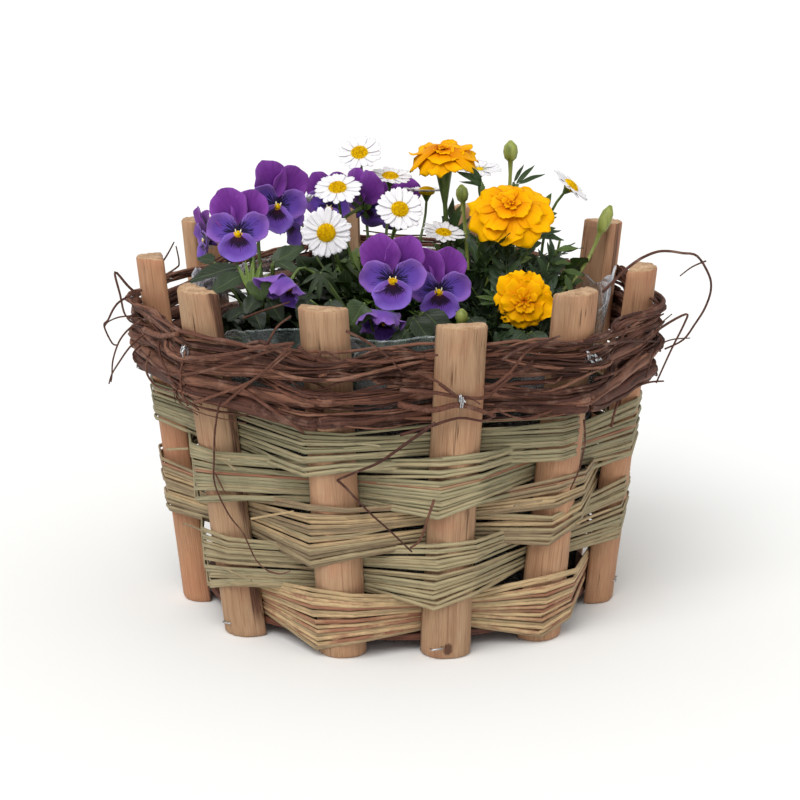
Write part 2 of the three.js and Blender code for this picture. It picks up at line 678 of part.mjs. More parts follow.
// A dome that the leaves and stalks grow from, on a crown that stands in its hole in the soil
function heart(plant) {
  const [x, y] = plant.crown;
  const [reachX, reachY, reachZ] = plant.heart.map((reach) => reach * 0.75);
  const foot = soilSurface(x, y) - soil.holeDepth;
  const stump = new THREE.CylinderGeometry(crownRadius, crownRadius, 2 * soil.holeDepth, 6);
  stump.rotateX(Math.PI / 2).translate(x, y, foot + soil.holeDepth);
  const dome = reshape(new THREE.SphereGeometry(1, 8, 4).rotateX(Math.PI / 2), (px, py, pz) => {
    const placeX = x + px * reachX;
    const placeY = y + py * reachY;
    const ground = soilSurface(placeX, placeY) + gap;
    return [placeX, placeY, Math.max(soil.height + soil.mound + pz * reachZ, ground)];
  });
  return fuse([solidOf(stump), solidOf(dome)]);
}

// The group

const group = new THREE.Group();

function addPiece(name, geometry, finish) {
  const material = new THREE.MeshStandardMaterial({ ...finishes[finish], flatShading: true });
  const mesh = new THREE.Mesh(geometry, material);
  mesh.name = name;
  group.add(mesh);
  return mesh;
}

// Adds a bloom in its place and keeps its solid there for the greenery to keep clear of
const placed = [];
function addBloom(name, solid, finish, bloom) {
  const mesh = addPiece(name, geometryOf(solid), finish);
  mesh.position.set(...bloom.at);
  mesh.quaternion.setFromRotationMatrix(facing(bloom));
  mesh.scale.setScalar(bloom.size);
  mesh.updateMatrix();
  placed.push(solid.transform(mesh.matrix.toArray()));
}

const twoDigits = (number) => String(number).padStart(2, '0');

addPiece('base_disc', geometryOf(baseDisc()), 'board');
stakes.forEach((_, i) => {
  const solid = stake(i + 1);
  addPiece(`stake_${twoDigits(i + 1)}`, geometryOf(solid), 'stake');
  placed.push(solid);
});
bands.forEach((band, i) => {
  addPiece(`rush_band_${i + 1}`, geometryOf(rushBand(band)), i % 2 || i === 4 ? 'rush' : 'straw');
});
for (const name of Object.keys(vineLayers)) {
  const solid = vineLayer(name);
  addPiece(`vine_ring_${name}`, geometryOf(solid), 'vine');
  placed.push(solid);
}
const cup = linerCup();
placed.push(cup);
addPiece('liner', geometryOf(cup), 'film');
addPiece('soil', geometryOf(soilFill()), 'soil');

violas.forEach((bloom, i) => addBloom(`viola_${twoDigits(i + 1)}`, violaBloom(bloom.curl), 'viola', bloom));
marigolds.forEach((bloom, i) => {
  addBloom(`marigold_${twoDigits(i + 1)}`, marigoldBloom(bloom.curl), 'marigold', bloom);
});
daisies.forEach((bloom, i) => {
  addBloom(`daisy_rays_${twoDigits(i + 1)}`, daisyRays(bloom.curl), 'rays', bloom);
  if (!bloom.closed) addBloom(`daisy_disc_${twoDigits(i + 1)}`, daisyDisc(), 'disc', bloom);
});

// First every heart with its stalks, then the leaves in the room that is left
const heads = [['viola', 'violas', violas], ['daisy', 'daisies', daisies], ['marigold', 'marigolds', marigolds]];
const ways = [0, 7, 15, 26, 38].flatMap((reach) => [0.35, 0.2, 0.1].flatMap((ease) => (
  Array.from({ length: reach ? 8 : 1 }, (_, k) => ({ ease, aside: turnedPoint(k * 45, reach, 0) }))
)));
const bodies = new Map();
for (const [name, plant] of Object.entries(plants)) bodies.set(name, heart(plant));
for (const [name, plant] of Object.entries(plants)) {
  const others = [...placed];
  for (const [otherName, body] of bodies) if (otherName !== name) others.push(body);
  const stalks = [];
  const grow = (head, make) => {
    const grown = firstClear(ways.map((way) => (extra) => make(way, extra)), others);
    if (!grown) throw new Error(`no room for the stalk of ${head} on ${name}`);
    stalks.push(grown);
  };
  for (const [kind, plural, blooms] of heads) {
    for (const number of plant[plural] ?? []) {
      grow(`${kind} ${number}`, (way, extra) => stalkTo(kind, plant, blooms[number - 1], way, extra));
    }
  }
  for (const bud of plant.buds ?? []) grow('a bud', (way, extra) => stalkToBud(plant, bud, way, extra));
  bodies.set(name, fuse([bodies.get(name), ...stalks]));
}
Object.entries(plants).forEach(([name, plant], seed) => {
  const others = [...placed];
  for (const [otherName, body] of bodies) if (otherName !== name) others.push(body);
  const leaves = [];
  for (let number = 0; number < plant.leaves; number++) {
    const grown = firstClear(leafMakers(plant, number, seed + 1), others);
    if (grown) leaves.push(grown);
  }
  bodies.set(name, fuse([bodies.get(name), ...leaves]));
});
for (const [name, body] of bodies) addPiece(name, geometryOf(body), 'leaf');

export default group;
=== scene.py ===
# A flower basket: split stakes woven with rush and vine, planted with violas, daisies and marigolds.
# Shapes are worked out in millimetres and turned to metres when a piece is finished.
import math
import random

import bmesh
import bpy
from mathutils import Matrix, Vector, noise


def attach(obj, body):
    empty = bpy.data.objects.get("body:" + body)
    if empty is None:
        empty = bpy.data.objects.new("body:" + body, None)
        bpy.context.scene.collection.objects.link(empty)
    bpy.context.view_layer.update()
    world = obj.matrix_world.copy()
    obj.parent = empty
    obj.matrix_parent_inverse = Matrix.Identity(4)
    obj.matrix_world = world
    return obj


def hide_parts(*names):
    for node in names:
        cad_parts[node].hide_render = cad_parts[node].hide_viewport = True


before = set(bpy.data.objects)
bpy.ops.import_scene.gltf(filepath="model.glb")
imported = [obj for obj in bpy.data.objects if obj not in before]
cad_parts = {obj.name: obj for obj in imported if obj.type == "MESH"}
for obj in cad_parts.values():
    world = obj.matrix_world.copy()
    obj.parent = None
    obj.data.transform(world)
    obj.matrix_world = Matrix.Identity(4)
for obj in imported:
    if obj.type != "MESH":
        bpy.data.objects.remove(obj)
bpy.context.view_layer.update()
scene = bpy.context.scene
millimetre = 0.001
fullTurn = 2 * math.pi
goldenAngle = 137.5
noise.seed_set(3)  # noise_vector takes its offsets from this seed, and from the clock without one

# The camera, first, because some twigs and leaves are placed along its sight lines
cameraView = {
    "lens": 126,
    "sensor": 36,
    "side": 800,  # pixels
    "distance": 1741,
    "elevation": 15.68,
    "aim": (1.2, 0, 120.9),
}


def viewAxes():
    tilt = math.radians(cameraView["elevation"])
    ahead = Vector((0, math.cos(tilt), -math.sin(tilt)))
    above = Vector((0, math.sin(tilt), math.cos(tilt)))
    return Vector(cameraView["aim"]) - ahead * cameraView["distance"], ahead, above


def sightLine(across, down):
    eye, ahead, above = viewAxes()
    perPixel = cameraView["sensor"] / cameraView["lens"] / cameraView["side"]
    middle = cameraView["side"] / 2
    return eye, ahead + Vector((1, 0, 0)) * (across - middle) * perPixel + above * (middle - down) * perPixel


def seenAt(across, down, depth):  # the place behind a pixel where y is depth
    eye, ray = sightLine(across, down)
    return eye + ray * ((depth - eye.y) / ray.y)


def makeCamera():
    eye, ahead, above = viewAxes()
    data = bpy.data.cameras.new("camera")
    data.lens = cameraView["lens"]
    data.sensor_width = cameraView["sensor"]
    data.clip_start = 0.05
    camera = bpy.data.objects.new("camera", data)
    camera.location = eye * millimetre
    camera.rotation_euler = ahead.to_track_quat("-Z", "Y").to_euler()
    scene.collection.objects.link(camera)
    scene.camera = camera


makeCamera()

# Mesh helpers


def lerp(low, high, share):
    return low + (high - low) * share


def degreesApart(first, second):
    return abs((first - second + 180) % 360 - 180)


def nearBearing(bearing, at, width):  # 1 at a bearing, falling off to both sides of it
    return math.exp(-((degreesApart(bearing, at) / width) ** 2))


def spokeAt(turn):  # the way out from a bloom's middle at an angle, and the way across it
    return Vector((math.cos(turn), math.sin(turn))), Vector((-math.sin(turn), math.cos(turn)))


def newShape():
    bm = bmesh.new()
    bm.loops.layers.uv.new("map")
    bm.verts.layers.float.new("tone")
    return bm


# A grid bent to shape: place(u, v) gives each point, u across and v along, both from 0 to 1
def addSheet(bm, columns, rows, place, finish=0, tone=0.5, smooth=True):
    uvMap = bm.loops.layers.uv.verify()
    toneLayer = bm.verts.layers.float["tone"]
    made = bmesh.ops.create_grid(bm, x_segments=columns, y_segments=rows, size=1, calc_uvs=True)["verts"]
    faces = {face for vert in made for face in vert.link_faces}
    for face in faces:
        face.smooth = smooth
        face.material_index = finish
        for loop in face.loops:
            loop[uvMap].uv = ((loop.vert.co.x + 1) / 2, (loop.vert.co.y + 1) / 2)
    for vert in made:
        vert.co = place((vert.co.x + 1) / 2, (vert.co.y + 1) / 2)
        vert[toneLayer] = tone
    return made, faces


# A closed tube rolled from a grid; it is flat times as thick outwards as it is wide
def addTube(bm, line, radii, sides=6, flat=1.0, finish=0, tone=0.5, radial=False):
    count = len(line)
    if not hasattr(radii, "__len__"):
        radii = [radii] * count
    frames = []
    normal = None
    for i, point in enumerate(line):
        along = (line[min(i + 1, count - 1)] - line[max(i - 1, 0)]).normalized()
        if radial:
            normal = Vector((point.x, point.y, 0))
        elif normal is None:
            normal = Vector((1, 0, 0)) if abs(along.z) > 0.9 else Vector((0, 0, 1))
        normal = (normal - along * normal.dot(along)).normalized()
        frames.append((point, radii[i], normal, along.cross(normal)))
    frames = [(frames[0][0], 0, *frames[0][2:]), *frames, (frames[-1][0], 0, *frames[-1][2:])]
    rows = count + 1

    def place(u, v):
        point, radius, outwards, side = frames[round(v * rows)]
        angle = u * fullTurn
        return point + outwards * radius * flat * math.sin(angle) + side * radius * math.cos(angle)

    return addSheet(bm, sides, rows, place, finish, tone)


def addTaperedTube(bm, line, wide, narrow, sides, tone):
    radii = [lerp(wide, narrow, i / len(line)) for i in range(len(line))]
    addTube(bm, line, radii, sides, tone=tone)


def paintFaces(made, finish):  # for the ball that a bmesh operator has made
    for face in {face for vert in made["verts"] for face in vert.link_faces}:
        face.material_index = finish
        face.smooth = True


# Points of a smooth line through given points
def smoothLine(points, steps, closed=False):
    count = len(points)
    spans = count if closed else count - 1
    line = []
    for i in range(spans):
        if closed:
            before, start, end, after = (points[(i + k) % count] for k in (-1, 0, 1, 2))
        else:
            before, start = points[max(i - 1, 0)], points[i]
            end, after = points[i + 1], points[min(i + 2, count - 1)]
        for step in range(steps):
            t = step / steps
            line.append(
                0.5
                * (
                    2 * start
                    + (end - before) * t
                    + (2 * before - 5 * start + 4 * end - after) * t * t
                    + (3 * start - before - 3 * end + after) * t * t * t
                )
            )
    line.append(points[0] if closed else points[-1])
    return line


# Moves each point of a line by a slow noise
def wander(line, amount, size, seed):
    shift = Vector((seed * 17.3, seed * 5.1, seed * 9.7))
    return [point + noise.noise_vector(point / size + shift) * amount for point in line]


# Gives open sheets a thickness along their normals and closes their rims
def thicken(bm, amount):
    bm.normal_update()
    made = bmesh.ops.extrude_face_region(bm, geom=list(bm.faces), use_keep_orig=True)
    for vert in made["geom"]:
        if isinstance(vert, bmesh.types.BMVert):
            vert.co -= vert.normal * amount
    bmesh.ops.recalc_face_normals(bm, faces=bm.faces)


# Turns a shape into a piece of the object, in metres
def finishPiece(bm, name, finishes, replaced=(), closed=True, thickness=0):
    bmesh.ops.remove_doubles(bm, verts=bm.verts, dist=0.002)
    if closed:
        bmesh.ops.recalc_face_normals(bm, faces=bm.faces)
    if thickness:
        bmesh.ops.solidify(bm, geom=list(bm.faces), thickness=thickness)
        bmesh.ops.recalc_face_normals(bm, faces=bm.faces)
    bmesh.ops.scale(bm, vec=(millimetre,) * 3, verts=bm.verts)
    mesh = bpy.data.meshes.new(name)
    bm.to_mesh(mesh)
    bm.free()
    for finish in finishes:
        mesh.materials.append(finish)
    piece = bpy.data.objects.new(name, mesh)
    scene.collection.objects.link(piece)
    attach(piece, "root")
    if replaced:
        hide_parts(*replaced)
    return piece


# Adds the shape of one bmesh to another
def pour(source, target):
    between = bpy.data.meshes.new("between")
    source.to_mesh(between)
    source.free()
    target.from_mesh(between)
    bpy.data.meshes.remove(between)


# Material helpers


def tint(code):  # a web colour as linear red, green, blue and alpha
    parts = [int(code[i : i + 2], 16) / 255 for i in (1, 3, 5)]
    return (*[part / 12.92 if part <= 0.04045 else ((part + 0.055) / 1.055) ** 2.4 for part in parts], 1)


def startFinish(name, **sockets):
    material = bpy.data.materials.new(name)
    material.use_nodes = True
    tree = material.node_tree
    shader = tree.nodes["Principled BSDF"]
    for socket, value in sockets.items():
        shader.inputs[socket.replace("_", " ")].default_value = value
    return material, tree, shader


def addNode(tree, kind, inputs=None, **settings):
    made = tree.nodes.new("ShaderNode" + kind)
    for setting, value in settings.items():
        setattr(made, setting, value)
    for socket, value in (inputs or {}).items():
        if isinstance(value, bpy.types.NodeSocket):
            tree.links.new(value, made.inputs[socket])
        else:
            made.inputs[socket].default_value = value
    return made


def objectPlace(tree):
    return addNode(tree, "TexCoord").outputs["Object"]


def surfacePlace(tree):
    return addNode(tree, "TexCoord").outputs["UV"]


def stretched(tree, place, scale, offset=(0, 0, 0)):
    return addNode(tree, "Mapping", {"Vector": place, "Scale": scale, "Location": offset}).outputs[0]


def noiseOn(tree, place, scale, detail=3.0, roughness=0.55):
    inputs = {"Vector": place, "Scale": scale, "Detail": detail, "Roughness": roughness}
    return addNode(tree, "TexNoise", inputs).outputs[0]


def grainOn(tree, place, stretch, detail=3.0, roughness=0.6, offset=(0, 0, 0)):  # noise drawn out by stretch
    return noiseOn(tree, stretched(tree, place, stretch, offset), 1.0, detail, roughness)


def maths(tree, operation, first, second=0.5, third=0.0):
    return addNode(tree, "Math", {0: first, 1: second, 2: third}, operation=operation).outputs[0]


def ramp(tree, factor, stops):
    made = addNode(tree, "ValToRGB", {0: factor})
    elements = made.color_ramp.elements
    while len(elements) < len(stops):
        elements.new(0.5)
    for element, (position, colour) in zip(elements, stops):
        element.position = position
        element.color = tint(colour) if isinstance(colour, str) else (colour, colour, colour, 1)
    return made.outputs[0]


def mixed(tree, factor, first, second, blend="MIX"):
    made = addNode(tree, "Mix", {0: factor, 6: first, 7: second}, data_type="RGBA", blend_type=blend)
    return made.outputs[2]


def addBump(tree, shader, height, strength, distance):
    inputs = {"Height": height, "Strength": strength, "Distance": distance}
    tree.links.new(addNode(tree, "Bump", inputs).outputs[0], shader.inputs["Normal"])


def storedOn(tree, name):
    return addNode(tree, "Attribute", attribute_name=name).outputs["Fac"]


def toneOf(tree):
    return storedOn(tree, "tone")


def setColour(tree, shader, colour):
    tree.links.new(colour, shader.inputs["Base Color"])


# The basket's shared measures

basket = {
    "footRadius": 128,
    "headRadius": 152,
    "height": 215,
    "stakeWidth": 29,
    "stakeDepth": 16,
    "gap": 0.3,
}
# bearing of foot and head, in degrees from the front towards +X, and how much taller than the rest
stakeTable = [
    (-80.7, -82.4, 2),
    (-47.7, -51.6, -1),
    (-15.6, -16.7, 0),
    (13.3, 14.5, -10),
    (42.9, 43.8, 1),
    (79.2, 76.3, -1),
    (119.5, 119.1, 4),
    (160, 160, 0),
    (196, 196, 0),
    (237.5, 238, 4),
]


def ringRadius(z):
    return lerp(basket["footRadius"], basket["headRadius"], z / basket["height"])


def turnedPoint(bearing, radius, z):
    angle = math.radians(bearing)
    return Vector((radius * math.sin(angle), -radius * math.cos(angle), z))


def stakeBearing(number, z):
    foot, head, _ = stakeTable[(number - 1) % len(stakeTable)]
    return lerp(foot, head, z / basket["height"])


def besideStake(number, along, outward, z):
    bearing = stakeBearing(number, z)
    return turnedPoint(bearing, ringRadius(z) + outward, z) + turnedPoint(bearing + 90, along, 0)


def steadyDraw(number):  # a number from 0 to 1 that is always the same for the same whole number
    value = math.sin(number * 12.9898) * 43758.5453
    return value - math.floor(value)


# Base disc

board = {"radius": 120.5, "bottom": 7, "thickness": 4, "edge": 0.5}


def boardFinish():
    material, tree, shader = startFinish("darkBoard", Roughness=0.72)
    place = objectPlace(tree)
    grain = grainOn(tree, place, (14, 220, 60), 5)
    plies = {"Vector": place, "Scale": 150, "Distortion": 0.6}
    ply = addNode(tree, "TexWave", plies, bands_direction="Z").outputs[0]
    colour = ramp(tree, grain, [(0.3, "#2e1a12"), (0.55, "#54301f"), (0.8, "#7c4a30")])
    colour = mixed(tree, maths(tree, "MULTIPLY", ply, 0.35), colour, tint("#8a4a32"))
    setColour(tree, shader, colour)
    addBump(tree, shader, grain, 0.4, 0.0004)
    return material


def makeBoard():
    bm = newShape()
    bmesh.ops.create_circle(bm, cap_ends=True, radius=board["radius"], segments=96)
    made = bmesh.ops.extrude_face_region(bm, geom=bm.faces[:])["geom"]
    top = [part for part in made if isinstance(part, bmesh.types.BMVert)]
    bmesh.ops.translate(bm, vec=(0, 0, board["thickness"]), verts=top)
    bmesh.ops.translate(bm, vec=(0, 0, board["bottom"]), verts=bm.verts)
    rims = [edge for edge in bm.edges if abs(edge.verts[0].co.z - edge.verts[1].co.z) < 0.1]
    bmesh.ops.bevel(bm, geom=rims, offset=board["edge"], segments=2, profile=0.5, affect="EDGES", material=-1)
    finishPiece(bm, "baseDisc", [boardFinish()], ["base_disc"])


makeBoard()
print("base disc made")

# Stakes: a half-round section, its back split flat, its head and foot sawn a little askew

stakeShape = {
    "columns": 54,
    "rows": 56,
    "bevel": 0.9,
    "bevelSpan": 14,  # half width that the bevel is a share of
    "arcShare": 0.66,  # share of the way round that the bark side takes
    "ripple": 0.45,
    "waist": 0.5,
    "skew": 0.12,
    "sawnRows": 2.2,  # rows at either end that show sawn wood
}
# for each stake: redness, roughness, then strips of bark as place round it, width and strength
stakeLooks = [
    (0.85, 0.8, [(0.6, 0.03, 0.25), (0.9, 0.05, 0.5)]),
    (0.25, 2.2, [(0.62, 0.05, 1.0), (0.0, 0.03, 0.5)]),
    (0.5, 0.9, [(0.02, 0.03, 0.6), (0.62, 0.03, 0.4)]),
    (0.4, 0.9, [(0.0, 0.025, 0.6), (0.66, 0.025, 0.5)]),
    (0.65, 0.8, [(0.64, 0.04, 0.7), (0.03, 0.02, 0.4)]),
    (0.75, 1.0, [(0.45, 0.08, 0.5), (0.05, 0.03, 0.6)]),
    (0.7, 1.1, [(0.1, 0.06, 0.7), (0.74, 0.03, 0.5)]),
    (0.55, 1.2, [(0.3, 0.1, 0.6)]),
    (0.45, 1.0, [(0.5, 0.07, 0.7)]),
    (0.6, 1.1, [(0.2, 0.08, 0.6), (0.8, 0.03, 0.4)]),
]
# scars and cracks: stake, place round it and up it, half width and half length there, and depth
stakeMarks = [
    (3, 0.30, 0.853, 0.05, 0.008, 0.4),
    (3, 0.36, 0.838, 0.03, 0.006, 0.4),
    (4, 0.215, 0.855, 0.011, 0.036, 1.3),
    (4, 0.30, 0.03, 0.05, 0.02, 0.5),
    (5, 0.35, 0.62, 0.03, 0.012, 0.4),
    (2, 0.25, 0.42, 0.012, 0.05, 0.9),
    (2, 0.42, 0.9, 0.010, 0.06, 0.8),
    (6, 0.2, 0.75, 0.012, 0.05, 0.8),
    (7, 0.82, 0.9, 0.02, 0.02, 0.5),
    (9, 0.4, 0.7, 0.04, 0.012, 0.6),
]


def stakeFinish():
    material, tree, shader = startFinish("splitWood", Roughness=0.66, Specular_IOR_Level=0.22)
    place = surfacePlace(tree)
    # fibres run along the stake, so the pattern is drawn out along v
    broad = grainOn(tree, place, (5, 1.3, 1), 4)
    fine = grainOn(tree, place, (60, 2.2, 1), 5, 0.65)
    hair = grainOn(tree, place, (150, 14, 1))
    patch = noiseOn(tree, objectPlace(tree), 34, 4, 0.6)
    wood = ramp(tree, broad, [(0.3, "#8f664a"), (0.48, "#ab8060"), (0.62, "#b58b69"), (0.78, "#c49c79")])
    grey = ramp(tree, broad, [(0.3, "#83654c"), (0.5, "#a48668"), (0.75, "#bda283")])
    wood = mixed(tree, toneOf(tree), grey, wood)
    reddened = ramp(tree, toneOf(tree), [(0.5, 0.0), (0.66, 0.3), (0.76, 0.35), (0.85, 0.6)])
    wood = mixed(tree, reddened, wood, tint("#c08560"))
    wood = mixed(tree, ramp(tree, fine, [(0.34, 0.75), (0.46, 0.0)]), wood, tint("#7d5238"))
    wood = mixed(tree, ramp(tree, fine, [(0.6, 0.0), (0.74, 0.5)]), wood, tint("#cda685"))
    wood = mixed(tree, 0.2, wood, ramp(tree, hair, [(0.35, "#6d4a34"), (0.62, "#d3af8c")]))
    wood = mixed(tree, ramp(tree, patch, [(0.5, 0.0), (0.7, 0.5)]), wood, tint("#b0765a"))
    # a few long drying cracks
    crack = grainOn(tree, place, (22, 1.1, 1), 1.0, 0.55, (3, 7, 0))
    crackLine = ramp(tree, crack, [(0.49, 0.0), (0.5, 1.0), (0.51, 0.0)])
    where = ramp(tree, grainOn(tree, place, (5, 6, 1), 2, 0.55), [(0.54, 0.0), (0.62, 1.0)])
    cracks = maths(tree, "MULTIPLY", crackLine, where)
    wood = mixed(tree, maths(tree, "MULTIPLY", cracks, 0.75), wood, tint("#3f2618"))
    # stains of bark, their edges ragged along the fibres
    ragged = maths(tree, "MULTIPLY_ADD", maths(tree, "SUBTRACT", fine, 0.5), 1.1, storedOn(tree, "stain"))
    bark = ramp(tree, hair, [(0.35, "#2e1b14"), (0.65, "#6b4535")])
    wood = mixed(tree, ramp(tree, ragged, [(0.34, 0.0), (0.6, 0.9)]), wood, bark)
    setColour(tree, shader, wood)
    fibres = maths(tree, "MULTIPLY_ADD", fine, 0.8, maths(tree, "MULTIPLY", hair, 0.4))
    addBump(tree, shader, maths(tree, "SUBTRACT", fibres, cracks), 0.7, 0.0006)
    return material


def cutEndFinish():
    material, tree, shader = startFinish("sawnEnd", Roughness=0.8)
    place = objectPlace(tree)
    rings = grainOn(tree, place, (160, 160, 60), 4)
    saw = grainOn(tree, place, (900, 200, 900), 2, 0.5)
    colour = ramp(tree, rings, [(0.32, "#96704f"), (0.5, "#b7936f"), (0.7, "#cbab88")])
    colour = mixed(tree, 0.2, colour, ramp(tree, saw, [(0.35, "#8a6647"), (0.6, "#d2b491")]))
    setColour(tree, shader, colour)
    addBump(tree, shader, saw, 0.4, 0.0004)
    return material


splitWood = stakeFinish()
sawnEnd = cutEndFinish()


# The section of a stake as along and outward, share from 0 to 1 round it
def stakeSection(share):
    half = basket["stakeWidth"] / 2
    depth = basket["stakeDepth"]
    arcShare = stakeShape["arcShare"]
    if share <= arcShare:
        angle = math.pi * share / arcShare
        return Vector((-half * math.cos(angle), depth * math.sin(angle) ** 0.8 - depth / 2))
    back = (share - arcShare) / (1 - arcShare)
    return Vector((half * (1 - 2 * back), -depth / 2 - 0.25 * math.sin(math.pi * back)))


def roundGap(share, other):
    return abs((share - other + 0.5) % 1 - 0.5)


def makeStake(number):
    extra = stakeTable[number - 1][2]
    redness, rough, strips = stakeLooks[number - 1]
    marks = [mark[1:] for mark in stakeMarks if mark[0] == number]
    length = basket["height"] + extra
    skew = stakeShape["skew"] * (steadyDraw(number) - 0.5)
    bevel = stakeShape["bevel"]
    rows = stakeShape["rows"]
    rise = bevel / length
    bevelled = 1 - bevel / stakeShape["bevelSpan"]
    # each row: how far up, and how full the section is
    levels = [(0, 0), (0, 0.5), (0, bevelled), (rise, 1)]
    levels += [(lerp(rise, 1 - rise, k / rows), 1) for k in range(1, rows + 1)]
    levels += [(1, bevelled), (1, 0.5), (1, 0)]
    last = len(levels) - 1
    sawn = stakeShape["sawnRows"]

    def markAt(u, level):
        return [
            (math.exp(-((roundGap(u, at) / wide) ** 2) - ((level - up) / long) ** 2), deep)
            for at, up, wide, long, deep in marks
        ]

    def place(u, v):
        level, full = levels[round(v * last)]
        along, outward = stakeSection(u)
        turn = u * fullTurn
        ring = Vector((math.cos(turn), math.sin(turn), 0))
        swell = 1 + 0.07 * noise.noise(ring * 0.9 + Vector((0, 0, level * 3 + number * 3.1)))
        fibre = noise.noise(ring * 5 + Vector((0, 0, level * 1.6 + number * 7.7)))
        fibre += 0.6 * noise.noise(ring * 11 + Vector((0, 0, level * 2.4 + number * 5.3)))
        grain = 0.5 * noise.noise(Vector((along * 0.4, outward * 0.4, number))) if level in (0, 1) else 0
        chip = 0.5 * rough * noise.noise(Vector((turn * 3, number, level))) if level in (0, 1) else 0
        along *= full * swell
        outward = -1 + (outward + 1 + fibre * stakeShape["ripple"] * rough) * full * swell
        for near, deep in markAt(u, level):
            outward -= near * deep
        bow = stakeShape["waist"] * math.sin(level * math.pi) * (1 if number % 2 else -1)
        z = length * level + skew * along * level + grain * full + chip * full
        return besideStake(number, along + bow, outward, z)

    bm = newShape()
    stainLayer = bm.verts.layers.float.new("stain")
    toneLayer = bm.verts.layers.float["tone"]
    uvMap = bm.loops.layers.uv.verify()
    made, faces = addSheet(bm, stakeShape["columns"], last, place, tone=redness)
    for face in faces:
        ends = [loop[uvMap].uv.y for loop in face.loops]
        if max(ends) <= sawn / last or min(ends) >= (last - sawn) / last:
            face.material_index = 1
        for loop in face.loops:
            u, v = loop[uvMap].uv
            level = levels[round(v * last)][0]
            stain = 0
            for at, wide, strength in strips:
                drift = 0.03 * noise.noise(Vector((level * 3, at * 9, number)))
                broken = 0.65 + 0.7 * noise.noise(Vector((level * 5, at * 7, number * 2.3)))
                stain = max(stain, strength * broken * math.exp(-((roundGap(u, at + drift) / wide) ** 2)))
            for near, deep in markAt(u, level):
                stain = max(stain, near * 1.1)
            loop.vert[stainLayer] = stain
            loop.vert[toneLayer] = redness + 0.25 * noise.noise(Vector((level * 4, u * 3, number * 1.9)))
    # each stake has the fibres of another part of the pattern
    for face in faces:
        for loop in face.loops:
            loop[uvMap].uv.x += number * 2.37
    finishPiece(bm, f"stake{number:02d}", [splitWood, sawnEnd], [f"stake_{number:02d}"])


for number in range(1, len(stakeTable) + 1):
    makeStake(number)
print("stakes made")

# Rush bands: each a bundle of split strands that winds outside one stake and inside the next

# middle and half heights as the band passes outside, midway and inside; way gives the side at each
# stake from the first; red strands and long loose ones are counted from the bottom
bandTable = [
    {"middle": 24.5, "outside": 19.5, "inside": 11, "lean": 0, "first": 2, "way": "ioioioioi",
     "open": True, "strands": 15, "tone": 0.86, "red": (6, 10)},
    {"middle": 54, "outside": 19, "inside": 14.5, "lean": 10.5, "first": 1, "way": "ioioioioio",
     "open": False, "strands": 17, "tone": 0.42, "red": ()},
    {"middle": 81, "outside": 20.5, "inside": 14.5, "lean": 7, "first": 1, "way": "oioioioioi",
     "open": False, "strands": 17, "tone": 0.64, "red": (15,)},
    {"middle": 108.5, "outside": 18.5, "inside": 13.5, "lean": 8, "first": 1, "way": "ioioioioio",
     "open": False, "strands": 17, "tone": 0.2, "red": (8,)},
    {"middle": 130, "outside": 13.5, "inside": 13.5, "lean": 2, "first": 6, "way": "ioioioioio",
     "open": True, "strands": 11, "tone": 0.14, "red": ()},
]
strand = {
    "width": 2.45,
    "thickness": 1.25,
    "sides": 6,
    "clearance": 8.4,  # how far from the ring a strand lies at a stake, at the least
    "layer": 0.9,  # how much nearer or farther single strands lie
    "kink": 12,  # where a strand folds beside a stake
    "rise": 2.2,  # how much higher the right fold is
    "narrow": 0.83,
    "looseEnds": 3,
}


def rushFinish():
    material, tree, shader = startFinish("splitRush", Roughness=0.6, Specular_IOR_Level=0.25)
    surface = surfacePlace(tree)
    fibre = grainOn(tree, surface, (14, 70, 1), 4, 0.65)
    streak = grainOn(tree, surface, (5, 16, 1), offset=(4, 1, 0))
    blotch = noiseOn(tree, objectPlace(tree), 40, 4, 0.65)
    mottled = maths(tree, "MULTIPLY_ADD", maths(tree, "SUBTRACT", blotch, 0.5), 0.42, toneOf(tree))
    stops = [(0.0, "#807a5e"), (0.2, "#978e70"), (0.42, "#a39270"), (0.62, "#87735a"), (0.8, "#b59a74")]
    colour = ramp(tree, mottled, [*stops, (0.92, "#cbac82"), (1.0, "#9c6a52")])
    colour = mixed(tree, ramp(tree, fibre, [(0.34, 0.75), (0.5, 0.0)]), colour, tint("#4e4330"))
    colour = mixed(tree, ramp(tree, streak, [(0.52, 0.0), (0.68, 0.5)]), colour, tint("#c3b48a"))
    setColour(tree, shader, colour)
    addBump(tree, shader, maths(tree, "ADD", fibre, streak), 0.6, 0.0004)
    return material


splitRush = rushFinish()


# The stops of one strand: at each stake two folds at the flanks, the left one lower where it is outside
def strandLine(band, level, draws):
    stops = []
    way = band["way"]
    leanShare = band["lean"] / basket["headRadius"]
    depth = draws.uniform(-1, 1) * strand["layer"]
    for k, letter in enumerate(way):
        number = (band["first"] - 1 + k) % len(stakeTable) + 1
        last = band["open"] and k == len(way) - 1
        stray = draws.gauss(0, 0.55) + (draws.choice((-5, 5)) if draws.random() < 0.04 else 0)
        if letter == "o":
            half = band["outside"] - 1.2
            clear = strand["clearance"] + 1.5 + depth
            left = -strand["kink"] + draws.uniform(-1.2, 2.2)
            right = strand["kink"] + draws.uniform(-1.2, 1.2)
            spots = [(left, clear - 1.2, -0.4, 1.04), (right, clear - 1.2, strand["rise"], strand["narrow"])]
            if last:
                spots = [spots[0], (0, clear, 0.4, 1)]
        else:
            half = band["inside"] - 1
            clear = -(strand["clearance"] + 1.6) + depth
            spots = [(-13, clear, 0, 1), (13, clear, 0, 1)]
        for along, outward, lift, spread in spots:
            stops.append((number, along, outward, half * spread, stray + lift))

    line = []
    for number, along, outward, half, stray in stops:
        z = band["middle"] + level * half + stray
        point = besideStake(number, along, outward, z)
        point.z += leanShare * point.x
        line.append(point)
    return line


